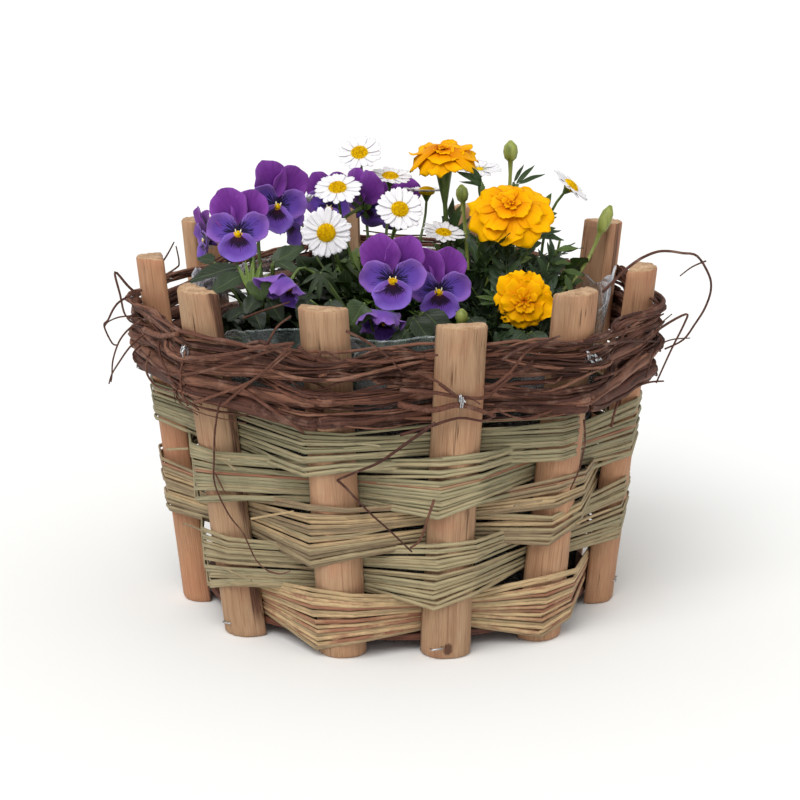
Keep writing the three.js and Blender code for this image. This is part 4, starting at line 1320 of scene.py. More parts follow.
# centre, half width across and half length of each petal, its level, and which colour it takes
violaPetals = [
    {"centre": (6.0, 13.4), "wide": 11.6, "long": 12.2, "level": -3.9, "kind": 0},
    {"centre": (-6.6, 13.9), "wide": 12.0, "long": 12.4, "level": -2.7, "kind": 0},
    {"centre": (-9.8, 2.6), "wide": 9.8, "long": 9.8, "level": -0.3, "kind": 1},
    {"centre": (9.8, 2.6), "wide": 9.8, "long": 9.8, "level": -0.1, "kind": 1},
    {"centre": (0, -8.8), "wide": 12.4, "long": 9.4, "level": 0.9, "kind": 2},
]
violaDroop = (-1.8, 0.9, 1.6)  # how far the tip of each kind of petal bends back or forward
violaSpan = 52  # millimetres that the colour map covers
openCurl = 0.03  # blooms that curl more than this hang half shut


def violaFinish(name, near, middle, far, edge, patch=None):
    sheen = {"Sheen_Weight": 0.25, "Sheen_Roughness": 0.4}
    material, tree, shader = startFinish(name, Roughness=0.6, Specular_IOR_Level=0.15, **sheen)
    fromEye = {0: surfacePlace(tree), 1: (0.5, 0.5, 0)}
    centred = addNode(tree, "VectorMath", fromEye, operation="SUBTRACT").outputs[0]
    reach = addNode(tree, "VectorMath", {0: centred}, operation="LENGTH").outputs["Value"]
    split = addNode(tree, "SeparateXYZ", {0: centred})
    angle = maths(tree, "ARCTAN2", split.outputs[1], split.outputs[0])
    polar = {0: maths(tree, "MULTIPLY", angle, 9.0), 1: maths(tree, "MULTIPLY", reach, 2.0)}
    rays = noiseOn(tree, addNode(tree, "CombineXYZ", polar).outputs[0], 2.6, 2, 0.5)
    soft = noiseOn(tree, objectPlace(tree), 70, 2, 0.5)
    grown = maths(tree, "MULTIPLY_ADD", maths(tree, "SUBTRACT", soft, 0.5), 0.1, reach)
    # the tone of a petal runs from its middle to its rim, which takes a paler edge colour: partly the petal's
    # own, partly painted light and shade that set each petal off from the next
    rim = toneOf(tree)
    colour = ramp(tree, grown, [(0.06, near), (0.2, middle), (0.4, far)])
    colour = mixed(tree, ramp(tree, rim, [(0.55, 0.0), (1.0, 0.8)]), colour, tint(edge))
    colour = mixed(tree, ramp(tree, rays, [(0.38, 0.22), (0.5, 0.0)]), colour, tint(near))
    if patch == "whiskers":
        marks = maths(tree, "SUBTRACT", maths(tree, "MULTIPLY_ADD", rays, 0.56, -0.12), reach)
        colour = mixed(tree, ramp(tree, marks, [(0.0, 0.0), (0.015, 1.0)]), colour, tint("#190b33"))
    if patch == "blotch":
        down = maths(tree, "MULTIPLY", split.outputs[1], -1.0)
        fan = maths(tree, "MULTIPLY_ADD", maths(tree, "ABSOLUTE", split.outputs[0]), -0.75, down)
        marks = maths(tree, "SUBTRACT", maths(tree, "MULTIPLY_ADD", rays, 0.26, 0.06), reach)
        within = ramp(tree, fan, [(-0.015, 0.0), (0.01, 1.0)])
        marks = maths(tree, "MULTIPLY", ramp(tree, marks, [(0.0, 0.0), (0.02, 1.0)]), within)
        colour = mixed(tree, marks, colour, ramp(tree, reach, [(0.05, "#3c0c22"), (0.12, "#210a2c")]))
        eye = ramp(tree, reach, [(0.045, 1.0), (0.06, 0.0)])
        colour = mixed(tree, eye, colour, tint("#f0b400"))
    setColour(tree, shader, colour)
    addBump(tree, shader, rays, 0.2, 0.0004)
    return material


violaFinishes = [
    violaFinish("violaUpper", "#380f50", "#561c74", "#6c2b88", "#8745a4"),
    violaFinish("violaSide", "#5a49ae", "#5f3f9e", "#6c439a", "#9468bc", "whiskers"),
    violaFinish("violaLower", "#6c3692", "#623d9e", "#5f429f", "#8a6cc8", "blotch"),
]


def violaPetal(bm, petal, row, seed):
    centre = Vector(petal["centre"])
    axis = centre.normalized()
    side = Vector((-axis.y, axis.x))
    curl = row[5] * (1 + 0.35 * math.sin(seed * 2.9))
    home = facing(row)
    shy = 2.8 if row[5] > openCurl else 1
    hand = math.sin(seed * 4.7) * 0.05

    def flat(u, v):
        turn = math.pi * v
        across = (u * 2 - 1) * math.sin(turn)
        reach = -math.cos(turn)
        heading = math.atan2(across, reach)
        frill = 1 + 0.03 * math.sin(5 * heading + seed * 2.1) + 0.02 * math.sin(9 * heading + seed)
        broad = 0.9 + 0.14 * v
        spot = centre + (side * across * petal["wide"] * broad + axis * reach * petal["long"]) * frill
        return spot + side * spot.length * hand, across, reach

    def place(u, v):
        spot, across, reach = flat(u, v)
        rim = math.hypot(across, reach)
        heading = math.atan2(across, reach)
        ripple = 1.1 * shy * rim**3 * math.sin(3 * heading + seed * 1.7)
        ripple += 0.5 * shy * rim**4 * math.sin(7 * heading + seed)
        cup = 1.2 * across * across - 1.3 * (1 - rim * rim)
        droop = violaDroop[petal["kind"]] * max(reach, 0) ** 2
        return home @ curled(spot.x, spot.y, petal["level"] + ripple + cup + droop, curl)

    made, faces = addSheet(bm, 14, 16, place, petal["kind"] or int(shy > 1))
    uvMap = bm.loops.layers.uv.verify()
    toneLayer = bm.verts.layers.float["tone"]
    for face in faces:
        for loop in face.loops:
            spot, across, reach = flat(*loop[uvMap].uv)
            # the tone grows towards the rim, where the finish pales the petal: partly its own edge colour,
            # partly painted light
            loop.vert[toneLayer] = math.hypot(across, reach)
            loop[uvMap].uv = (spot.x / violaSpan + 0.5, spot.y / violaSpan + 0.5)


def makeTuftFinish():
    material, tree, shader = startFinish("paleTuft", Roughness=0.8)
    shade = noiseOn(tree, objectPlace(tree), 900, 2, 0.5)
    setColour(tree, shader, ramp(tree, shade, [(0.3, "#d9c98a"), (0.7, "#fffbe6")]))
    return material


def makeLeafFinish(name, dark, middle, light, bright, rib, roughness):
    material, tree, shader = startFinish(name, Roughness=roughness, Specular_IOR_Level=0.35)
    surface = surfacePlace(tree)
    split = addNode(tree, "SeparateXYZ", {0: surface})
    fromRib = maths(tree, "ABSOLUTE", maths(tree, "SUBTRACT", split.outputs[0], 0.5))
    # side veins leave the rib at a slant
    slant = maths(tree, "MULTIPLY_ADD", split.outputs[1], 7.0, maths(tree, "MULTIPLY", fromRib, -5.0))
    vein = maths(tree, "ABSOLUTE", maths(tree, "SUBTRACT", maths(tree, "FRACT", slant), 0.5))
    veinLine = ramp(tree, vein, [(0.0, 0.5), (0.09, 0.0)])
    ribLine = ramp(tree, fromRib, [(0.012, 1.0), (0.045, 0.0)])
    patch = noiseOn(tree, objectPlace(tree), 45, 4, 0.6)
    # a leaf's tone carries painted shade and light as well as its own green, and noise mottles it
    mottled = maths(tree, "MULTIPLY_ADD", toneOf(tree), 0.75, maths(tree, "MULTIPLY", patch, 0.35))
    colour = ramp(tree, mottled, [(0.15, dark), (0.4, middle), (0.65, light), (0.95, bright)])
    colour = mixed(tree, maths(tree, "MULTIPLY", veinLine, 0.25), colour, tint(rib))
    colour = mixed(tree, maths(tree, "MULTIPLY", ribLine, 0.45), colour, tint(rib))
    setColour(tree, shader, colour)
    height = maths(tree, "MULTIPLY_ADD", maths(tree, "MAXIMUM", veinLine, ribLine), -0.7, patch)
    addBump(tree, shader, height, 0.6, 0.0006)
    return material


def makeStemFinish(name, dark, light):
    material, tree, shader = startFinish(name, Roughness=0.5)
    place = objectPlace(tree)
    streak = grainOn(tree, place, (260, 260, 40))
    setColour(tree, shader, ramp(tree, streak, [(0.3, dark), (0.7, light)]))
    addBump(tree, shader, streak, 0.3, 0.0004)
    return material


paleTuft = makeTuftFinish()
stemGreen = makeStemFinish("greenStem", "#344a1c", "#6c8038")
# for each kind of plant the colours of a leaf from shade to light, the colour of its veins and its roughness
leafColours = {
    "viola": ("#0d1409", "#1f2d15", "#3a4b2c", "#728a32", "#5c6d40", 0.45),
    "daisy": ("#101b0a", "#2b3f19", "#536b2c", "#86993f", "#6f8049", 0.5),
    "marigold": ("#0c170a", "#223719", "#42592e", "#7c9040", "#56693c", 0.45),
}
leafGreen = {kind: makeLeafFinish(f"{kind}Leaf", *colours) for kind, colours in leafColours.items()}
darkThroat = makeStemFinish("darkThroat", "#1c0a16", "#4a1c22")
calyxGreen = makeStemFinish("calyxGreen", "#25360f", "#526a28")
budGreen = makeStemFinish("budGreen", "#5d6b22", "#a3aa55")

# the two tufts beside the eye, the eye and its dark throat: place, half width, half height and finish
violaEye = [
    (-1.5, 0.9, 0.45, 1.4, 3),
    (1.5, 0.9, 0.45, 1.4, 3),
    (0, -0.5, 1.45, 1.8, 4),
    (0, 0.1, 0.42, 0.75, 6),
]


def makeViola(index):
    row = violaTable[index]
    bm = newShape()
    for k, petal in enumerate(violaPetals):
        violaPetal(bm, petal, row, index * 5 + k)
    bmesh.ops.remove_doubles(bm, verts=bm.verts, dist=0.002)
    thicken(bm, 0.4)
    home = facing(row)
    for x, y, wide, high, finish in violaEye:
        shape = Matrix.Translation((x, y, 1.3)) @ Matrix.Rotation(-x * 0.16, 4, "Z")
        shape = shape @ Matrix.Diagonal((wide, high, 0.8, 1))
        paintFaces(bmesh.ops.create_icosphere(bm, subdivisions=2, radius=1, matrix=home @ shape), finish)
    # sepals behind the petals, and the spur
    for k in range(5):
        axis, side = spokeAt(math.radians(90 + 72 * k))

        def sepal(u, v):
            across = (u * 2 - 1) * 2.1 * math.sin(math.pi * min(v * 0.9 + 0.1, 1)) ** 0.7
            spot = axis * (1 + 8.5 * v) + side * across
            return home @ curled(spot.x, spot.y, -4.6 - 0.5 * v, row[5])

        addSheet(bm, 2, 5, sepal, 5)
    spur = [home @ Vector((0, -1.5 - k * 0.8, -3.5 - 1.6 * k)) for k in range(5)]
    addTube(bm, spur, [1.9, 1.8, 1.5, 1.2, 0.8], 7, finish=1)
    number = f"{index + 1:02d}"
    finishes = [*violaFinishes, paleTuft, daisyGold, calyxGreen, darkThroat]
    finishPiece(bm, f"viola{number}", finishes, [f"viola_{number}"], closed=False)


# Daisies: a ring of white rays in two layers round a golden disc of florets

daisyShape = {
    "rays": 21,
    "reach": 15,
    "half": 2.15,
    "start": 3.6,  # where the rays begin
    "disc": 5.7,
    "dome": 0.52,  # height of the disc as a share of its radius
    "florets": 150,
    "floret": 0.42,
    "bracts": 13,
}


def rayFinish():
    material, tree, shader = startFinish("whiteRays", Roughness=0.55)
    surface = surfacePlace(tree)
    groove = grainOn(tree, surface, (9, 0.6, 1), 2, 0.5)
    split = addNode(tree, "SeparateXYZ", {0: surface})
    # painted shade: the grooves of a ray are coloured a darker violet grey
    colour = ramp(tree, groove, [(0.3, "#dcdae6"), (0.48, "#efedf0"), (0.7, "#fbfaf8")])
    colour = mixed(tree, ramp(tree, split.outputs[1], [(0.0, 0.7), (0.35, 0.0)]), colour, tint("#c4c8a4"))
    setColour(tree, shader, colour)
    addBump(tree, shader, groove, 0.4, 0.0004)
    return material


def discFinish():
    material, tree, shader = startFinish("daisyGold", Roughness=0.7, Specular_IOR_Level=0.1)
    shade = noiseOn(tree, objectPlace(tree), 700, 3, 0.6)
    setColour(tree, shader, ramp(tree, shade, [(0.32, "#b68500"), (0.5, "#deb200"), (0.7, "#f4d200")]))
    return material


whiteRays = rayFinish()
daisyGold = discFinish()


def makeDaisy(index):
    row = daisyTable[index]
    home = facing(row)
    number = index + 1
    draws = random.Random(400 + index)
    bm = newShape()
    count = daisyShape["rays"]
    start = daisyShape["start"]
    for k in range(count):
        axis, side = spokeAt(fullTurn * (k + draws.uniform(-0.18, 0.18)) / count)
        reach = daisyShape["reach"] * draws.uniform(0.9, 1.03)
        level = (k % 2) * 0.5 + draws.uniform(-0.2, 0.2)
        lift = draws.uniform(-0.9, 0.9)

        def ray(u, v):
            across = u * 2 - 1
            full = min(1, 0.45 + 1.4 * v) * (1 - max(0, v - 0.86) / 0.14 * 0.62)
            notch = 0.5 * (1 - abs(across)) * max(0, v - 0.8) / 0.2
            spot = axis * (start + (reach - start) * v - notch * 0.6)
            spot += side * across * daisyShape["half"] * full
            z = level + lift * v * v + 0.35 * across * across
            return home @ curled(spot.x, spot.y, z, row[5])

        addSheet(bm, 4, 6, ray, 0, tone=draws.random())
    bmesh.ops.remove_doubles(bm, verts=bm.verts, dist=0.002)
    bmesh.ops.solidify(bm, geom=list(bm.faces), thickness=0.25)
    # green bracts behind
    for k in range(daisyShape["bracts"]):
        axis, side = spokeAt(fullTurn * k / daisyShape["bracts"])

        def bract(u, v):
            across = (u * 2 - 1) * 1.1 * (1 - 0.7 * v)
            spot = axis * (1.2 + 4.4 * v) + side * across
            return home @ curled(spot.x, spot.y, -2.2 + 1.2 * v * v, row[5])

        addSheet(bm, 2, 3, bract, 2)
    shut = number in halfClosed
    dome = Matrix.Translation((0, 0, 0.2)) @ Matrix.Diagonal((1, 1, daisyShape["dome"], 1))
    radius = daisyShape["disc"] * (0.5 if shut else 1)
    made = bmesh.ops.create_uvsphere(bm, u_segments=20, v_segments=10, radius=radius, matrix=home @ dome)
    paintFaces(made, 1)
    florets = 0 if shut else daisyShape["florets"]
    for k in range(florets):
        share = math.sqrt((k + 0.5) / florets)
        angle = math.radians(k * goldenAngle)
        out = radius * 0.96 * share
        z = 0.2 + radius * daisyShape["dome"] * math.sqrt(max(0, 1 - share * share)) + 0.15
        spot = Matrix.Translation((out * math.cos(angle), out * math.sin(angle), z))
        bmesh.ops.create_icosphere(bm, subdivisions=1, radius=daisyShape["floret"], matrix=home @ spot)
    # the florets are made of small triangles
    for face in bm.faces:
        if len(face.verts) == 3 and face.calc_area() < 0.2:
            face.material_index = 1
    nodes = [f"daisy_rays_{number:02d}"] + ([] if shut else [f"daisy_disc_{number:02d}"])
    finishPiece(bm, f"daisy{number:02d}", [whiteRays, daisyGold, calyxGreen], nodes, closed=False)


# Marigolds: rings of broad ruffled petals, each notched at its end

# for each bloom its rings: petals, reach, half width, level, bend and start; the first bloom's outer ring
# is empty, because its outer petals hang and have a table of their own
marigoldRings = [
    [
        (0, 0, 0, 0, 0, 4),
        (5, 13.0, 7.4, 2.2, 0.9, 3),
        (5, 8.5, 4.6, 3.8, -0.9, 1.5),
        (5, 5.5, 2.4, 5.0, -2.4, 0.8),
    ],
    [
        (8, 26.5, 12.0, 0.0, 1.1, 4),
        (6, 19.5, 10.0, 1.9, 0.8, 3.5),
        (5, 12, 6.6, 3.6, -0.2, 2),
        (5, 7.5, 3.2, 4.8, -2.2, 1.2),
        (6, 5.0, 1.6, 5.4, -4, 0.8),
    ],
    [
        (9, 25.5, 10.6, 0.0, 1.1, 4),
        (6, 18.5, 8.8, 1.8, 0.7, 3.5),
        (5, 11.5, 4.8, 3.2, -1.4, 2),
        (8, 8, 1.5, 4.2, -5, 1.0),
        (8, 6, 1.1, 4.6, -9, 0.8),
    ],
]
# the hanging petals of the first bloom: direction, reach, half width and bend
hangingPetals = [
    (182, 29, 10.5, 1.45), (216, 25, 10, 1.4), (258, 21, 10, 1.2), (320, 20, 9.5, 0.8), (352, 27, 10.5, 1.15),
    (24, 26, 11, 0.7), (64, 24, 11, 0.4), (104, 24, 11, 0.4), (144, 26, 11, 0.8),
]


def marigoldFinish():
    material, tree, shader = startFinish("goldPetal", Roughness=0.55, Specular_IOR_Level=0.05)
    surface = surfacePlace(tree)
    split = addNode(tree, "SeparateXYZ", {0: surface})
    streak = grainOn(tree, surface, (12, 1.0, 1))
    along = maths(tree, "MULTIPLY_ADD", maths(tree, "SUBTRACT", streak, 0.5), 0.35, split.outputs[1])
    # inner rings are more orange
    along = maths(tree, "MULTIPLY_ADD", toneOf(tree), -0.28, along)
    colour = ramp(tree, along, [(0.0, "#c46200"), (0.25, "#e28e00"), (0.5, "#eea300"), (0.9, "#fab800")])
    colour = mixed(tree, ramp(tree, streak, [(0.34, 0.3), (0.46, 0.0)]), colour, tint("#e28c00"))
    setColour(tree, shader, colour)
    addBump(tree, shader, streak, 0.35, 0.0006)
    return material


goldPetal = marigoldFinish()


def goldenPetal(bm, home, curl, draws, turn, reach, half, level, bend, start, depth):
    axis, side = spokeAt(turn)
    phase, second = draws.uniform(0, fullTurn), draws.uniform(0, fullTurn)
    ruffle = half * draws.uniform(0.08, 0.18)
    tip = half * draws.uniform(-0.14, 0.2)
    lobes = draws.choice((1.8, 2.6, 3.4))
    rest = -curled(reach * 0.5, 0, 0, curl * bend).z

    def petal(u, v):
        across = u * 2 - 1
        full = math.sin(math.pi * min(0.1 + v * 0.62, 1)) ** 0.9
        ends = max(0, v - 0.55) / 0.45
        lobe = 0.036 * (1 - math.cos(lobes * math.pi * across + phase))
        end = reach * (0.04 * across * across + 0.13 * across**4 + lobe) * ends
        out = start + (reach - start) * v - end
        spot = axis * out + side * across * half * full
        wave = ruffle * v * v * (math.sin(across * 3.6 + phase) + 0.3 * math.sin(across * 7.5 + second))
        z = level + wave + tip * v * v - 0.14 * half * (1 - across * across) * v
        bent = curled(spot.x, spot.y, z, curl * bend)
        bent.z += rest
        return home @ bent

    addSheet(bm, 10, 9, petal, 0, tone=depth)


def makeMarigold(index):
    row = marigoldTable[index]
    home = facing(row)
    curl = row[5]
    draws = random.Random(500 + index)
    bm = newShape()
    rings = marigoldRings[index]
    if index == 0:
        for turn, reach, half, bend in hangingPetals:
            level = draws.uniform(-0.5, 0.5)
            goldenPetal(bm, home, curl, draws, math.radians(turn), reach, half, level, bend, 3.5, 0)
    for ring, (petals, reach, half, level, bend, start) in enumerate(rings):
        offset = draws.random()
        for k in range(petals):
            turn = fullTurn * (k + offset + draws.uniform(-0.14, 0.14)) / petals
            far = reach * draws.uniform(0.88, 1.04)
            wide = half * draws.uniform(0.88, 1.08)
            lifted = level + draws.uniform(-0.4, 0.4)
            goldenPetal(bm, home, curl, draws, turn, far, wide, lifted, bend, start, ring / (len(rings) - 1))
    bmesh.ops.remove_doubles(bm, verts=bm.verts, dist=0.002)
    thicken(bm, 0.35)
    number = f"{index + 1:02d}"
    finishPiece(bm, f"marigold{number}", [goldPetal], [f"marigold_{number}"], closed=False)


for index in range(len(violaTable)):
    makeViola(index)
for index in range(len(daisyTable)):
    makeDaisy(index)
for index in range(len(marigoldTable)):
    makeMarigold(index)
print("blooms made")

# Plants: stalks, leaves and buds

# the kind of a plant is the first word of its name; heart is the reach of its leaves across, in depth and up,
# and blooms are numbers in the table of its kind
plantTable = {
    "viola_plant_left": {"crown": (-78, -30), "heart": (32, 34, 30), "leaves": 130, "blooms": (1, 2, 3, 4)},
    "viola_plant_front": {"crown": (-8, -72), "heart": (42, 30, 24), "leaves": 110, "blooms": (6, 7, 8, 9)},
    "viola_plant_back": {"crown": (-36, 72), "heart": (42, 34, 30), "leaves": 120, "blooms": (5, 10, 11)},
    "daisy_plant_left": {"crown": (-14, 4), "heart": (34, 36, 44), "leaves": 210, "blooms": range(1, 9)},
    "daisy_plant_right": {"crown": (92, 44), "heart": (24, 30, 28), "leaves": 150, "blooms": (9, 10)},
    "marigold_plant_back": {"crown": (46, 12), "heart": (30, 34, 46), "leaves": 44, "blooms": (1, 2)},
    "marigold_plant_front": {"crown": (66, -50), "heart": (30, 26, 26), "leaves": 44, "blooms": (3,)},
}
# closed buds: tip, foot and radius
budTable = {
    "marigold_plant_back": [((69, 18, 281), (69, 18, 268), 4.6), ((39, 20, 253), (40, 20, 242), 4.0)],
    "marigold_plant_front": [((134, 54, 233), (127, 50, 216), 4.2), ((37, -97, 203), (37, -96, 194), 3.8)],
}
# the swelling of a bud: distance from its tip as a share of its length, and share of its radius
budSwell = [(0.85, 0.8), (0.55, 1), (0.25, 0.86)]
stalkEnds = {  # how far below the bloom the stalk ends, and distance back and radius from there
    "viola": (4.6, [(9, 1.1), (3.5, 1.6), (0, 2.2)]),
    "daisy": (1.2, [(5.5, 0.9), (2.4, 2.6), (0, 4.2)]),
    "marigold": (1.2, [(34, 1.5), (22, 3.4), (10, 5.4), (0, 5.2)]),
}


def growStalk(bm, start, end, forward, radii, finish, sides=8):
    neck = end - forward * radii[0][0]
    rise = (neck - start).length
    first = start.lerp(neck, 0.3)
    first.z = start.z + rise * 0.34
    second = neck - forward * rise * 0.3
    line = []
    for k in range(12):
        t = k / 12
        a, b, c = start.lerp(first, t), first.lerp(second, t), second.lerp(neck, t)
        line.append(a.lerp(b, t).lerp(b.lerp(c, t), t))
    widths = [radii[0][1] * (1.15 - 0.15 * k / 12) for k in range(12)]
    for (back, radius), (after, nextRadius) in zip(radii, radii[1:] + [radii[-1]]):
        line.append(end - forward * back)
        widths.append(radius)
        if back != after:
            line.append(end - forward * (back + after) / 2)
            widths.append((radius + nextRadius) / 2)
    addTube(bm, line, widths, sides, finish=finish)


def leafAxes(way, up):  # along the leaf, across it and out of its face
    way = way.normalized()
    side = way.cross(up).normalized()
    return way, side, side.cross(way).normalized()


# One leaf blade from its foot along a way, arched back by droop; up is the side that faces the light
def addLeaf(bm, kind, foot, way, up, size, finish, tone, droop=0.7, fold=0.25, widened=1):
    way, side, up = leafAxes(way, up)
    shape = leafShapes[kind]
    long, half = shape["long"] * size, shape["half"] * size * widened

    def place(u, v):
        across = u * 2 - 1
        full = leafOutline(kind, v)
        teeth = 1 + shape["tooth"] * math.sin(v * shape["teeth"] * fullTurn) * abs(across)
        angle = droop * v
        radius = long / max(droop, 0.01)
        out, down = radius * math.sin(angle), radius * (1 - math.cos(angle))
        wide = across * half * full * teeth
        lift = fold * abs(wide) + 0.5 * math.sin(v * 9 + across * 3)
        return foot + way * out - up * down + side * wide + up * lift

    addSheet(bm, *shape["sheet"], place, finish, tone)


# length and half width in millimetres, how far the teeth stand out and how many there are, columns and rows
# of the sheet, and how early the outline is broadest and how blunt it is
leafShapes = {
    "viola": {"long": 30, "half": 10.5, "tooth": 0.07, "teeth": 6, "sheet": (6, 14), "outline": (0.72, 0.75)},
    "heart": {"long": 24, "half": 12.5, "tooth": 0.05, "teeth": 6, "sheet": (6, 14), "outline": (0.55, 0.62)},
    "daisy": {"long": 30, "half": 7.5, "tooth": 0.12, "teeth": 4, "sheet": (4, 14)},
    "leaflet": {"long": 19, "half": 2.7, "tooth": 0.2, "teeth": 6, "sheet": (2, 12), "outline": (0.8, 0.9)},
    "blade": {"long": 26, "half": 1.8, "tooth": 0, "teeth": 1, "sheet": (2, 8), "outline": (0.8, 0.9)},
}


def leafOutline(kind, v):
    if kind == "daisy":  # shaped like a spoon, with lobes
        spoon = 0.12 + 0.88 * math.exp(-(((v - 0.72) / 0.3) ** 2))
        return spoon * (0.62 + 0.38 * abs(math.sin(v * 13))) * (1 if v < 0.95 else 0.5)
    early, blunt = leafShapes[kind]["outline"]
    return math.sin(math.pi * min(v**early, 1)) ** blunt if v < 1 else 0


# A marigold leaf: narrow toothed leaflets in pairs along a thin rib
def addPinnate(bm, foot, way, up, size, pairs, draws, stem, blade, tone=0.5):
    way, side, up = leafAxes(way, up)
    long = 46 * size
    droop = draws.uniform(0.1, 0.6)
    line = [foot + way * long * k / 8 - up * long * 0.5 * droop * (k / 8) ** 2 for k in range(9)]
    addTube(bm, line, [lerp(0.9, 0.35, k / 8) * size for k in range(9)], 5, finish=stem)
    for k in range(pairs):
        t = 0.24 + 0.76 * k / (pairs - 1)
        spot = foot + way * long * t - up * long * 0.5 * droop * t * t
        grow = size * (0.7 + 0.35 * math.sin(math.pi * min(t, 0.95)))
        for hand in (-1, 1):
            out = way * 0.8 + side * hand * draws.uniform(0.6, 1.0) + up * draws.uniform(-0.1, 0.4)
            shade, hang = tone + draws.uniform(-0.2, 0.2), draws.uniform(0.2, 0.9)
            addLeaf(bm, "leaflet", spot, out.normalized(), up, grow, blade, shade, hang, 0.35)
    addLeaf(bm, "leaflet", line[-1], way - up * 0.3, up, size, blade, tone, 0.3, 0.35)


# Leaves seen in the picture: kind, pixels of foot and tip, depth of each, width as a share of length,
# how far it faces up rather than to the front, and tone, which holds painted shade and light as well as the
# leaf's own green
seenLeaves = {
    "viola_plant_left": [
        ("viola", (238, 268), (186, 275), -56, -60, 0.27, 0.75, 0.26),
        ("viola", (243, 275), (209, 289), -68, -80, 0.30, 0.6, 0.42),
        ("heart", (257, 278), (262, 301), -88, -92, 0.52, 0.1, 0.7),
        ("viola", (272, 264), (304, 243), -62, -56, 0.26, 0.4, 0.45),
        ("viola", (274, 262), (302, 270), -64, -74, 0.24, 0.75, 0.4),
        ("viola", (262, 296), (240, 312), -84, -92, 0.34, 0.5, 0.25),
        ("viola", (268, 300), (284, 322), -86, -92, 0.34, 0.4, 0.2),
        ("viola", (248, 308), (226, 318), -84, -92, 0.36, 0.8, 0.1),
        ("viola", (252, 306), (262, 330), -86, -96, 0.36, 0.4, 0.15),
        ("blade", (250, 292), (237, 263), -80, -74, 0.07, 0.1, 0.85),
        ("blade", (250, 292), (245, 257), -80, -72, 0.06, 0.1, 0.85),
        ("blade", (251, 292), (253, 256), -80, -72, 0.07, 0.1, 0.85),
        ("blade", (252, 292), (262, 260), -80, -74, 0.07, 0.1, 0.85),
        ("blade", (252, 293), (270, 272), -80, -78, 0.07, 0.1, 0.9),
        ("viola", (236, 262), (222, 250), -40, -34, 0.3, 0.5, 0.35),
        ("viola", (214, 262), (196, 254), -40, -30, 0.3, 0.5, 0.4),
    ],
    "viola_plant_front": [
        ("leaflet", (320, 272), (300, 284), -84, -90, 0.10, 0.3, 0.4),
        ("leaflet", (320, 272), (307, 297), -84, -92, 0.10, 0.3, 0.4),
        ("leaflet", (320, 272), (319, 301), -84, -92, 0.10, 0.3, 0.4),
        ("leaflet", (320, 272), (332, 294), -84, -90, 0.10, 0.3, 0.4),
        ("leaflet", (320, 272), (338, 279), -84, -86, 0.10, 0.3, 0.4),
        ("leaflet", (320, 272), (334, 261), -84, -80, 0.10, 0.3, 0.4),
        ("leaflet", (320, 272), (305, 266), -84, -80, 0.10, 0.3, 0.4),
        ("heart", (364, 303), (349, 326), -98, -102, 0.5, 0.2, 0.6),
        ("viola", (330, 300), (338, 324), -88, -96, 0.4, 0.3, 0.3),
        ("viola", (310, 300), (297, 318), -88, -96, 0.4, 0.5, 0.2),
        ("viola", (414, 318), (432, 342), -92, -100, 0.38, 0.4, 0.3),
        ("viola", (424, 312), (452, 336), -84, -94, 0.36, 0.4, 0.2),
        ("viola", (470, 318), (488, 338), -78, -90, 0.36, 0.5, 0.25),
        ("viola", (408, 330), (392, 348), -96, -104, 0.36, 0.6, 0.35),
    ],
    "marigold_plant_back": [
        ("daisy", (478, 272), (470, 232), -24, -18, 0.14, 0.1, 0.35),
        ("daisy", (486, 276), (484, 230), -20, -14, 0.14, 0.1, 0.45),
        ("daisy", (492, 280), (500, 236), -18, -12, 0.14, 0.1, 0.4),
        ("daisy", (500, 282), (513, 246), -18, -12, 0.14, 0.1, 0.3),
        ("daisy", (470, 280), (458, 246), -26, -20, 0.14, 0.1, 0.3),
        ("leaflet", (483, 184), (458, 170), 24, 20, 0.12, 0.3, 0.5),
        ("leaflet", (482, 182), (467, 164), 24, 22, 0.15, 0.3, 0.45),
        ("leaflet", (484, 186), (461, 180), 24, 18, 0.07, 0.3, 0.4),
        ("leaflet", (514, 182), (524, 163), 20, 24, 0.09, 0.3, 0.45),
        ("leaflet", (516, 184), (535, 163), 20, 26, 0.09, 0.3, 0.5),
        ("leaflet", (518, 184), (547, 171), 20, 28, 0.07, 0.3, 0.5),
        ("leaflet", (540, 236), (566, 238), 8, 10, 0.12, 0.4, 0.5),
        ("leaflet", (540, 236), (562, 228), 8, 12, 0.11, 0.4, 0.45),
    ],
    "daisy_plant_right": [
        ("leaflet", (560, 240), (545, 232), 40, 36, 0.15, 0.4, 0.5),
        ("leaflet", (556, 250), (578, 246), 34, 32, 0.15, 0.4, 0.6),
        ("leaflet", (552, 262), (572, 262), 28, 24, 0.16, 0.4, 0.5),
        ("leaflet", (564, 270), (584, 274), 20, 14, 0.16, 0.4, 0.6),
        ("leaflet", (566, 276), (572, 294), 14, 4, 0.16, 0.4, 0.5),
    ],
    "marigold_plant_front": [
        ("leaflet", (498, 300), (477, 295), -66, -72, 0.10, 0.3, 0.7),
        ("leaflet", (498, 302), (479, 303), -66, -72, 0.10, 0.3, 0.65),
        ("viola", (524, 332), (502, 350), -92, -104, 0.34, 0.5, 0.2),
        ("viola", (528, 334), (522, 354), -92, -106, 0.34, 0.4, 0.15),
        ("viola", (532, 332), (548, 350), -88, -100, 0.34, 0.5, 0.25),
        ("viola", (512, 326), (494, 338), -88, -98, 0.34, 0.5, 0.3),
        ("leaflet", (500, 300), (484, 288), -62, -66, 0.10, 0.3, 0.6),
    ],
}


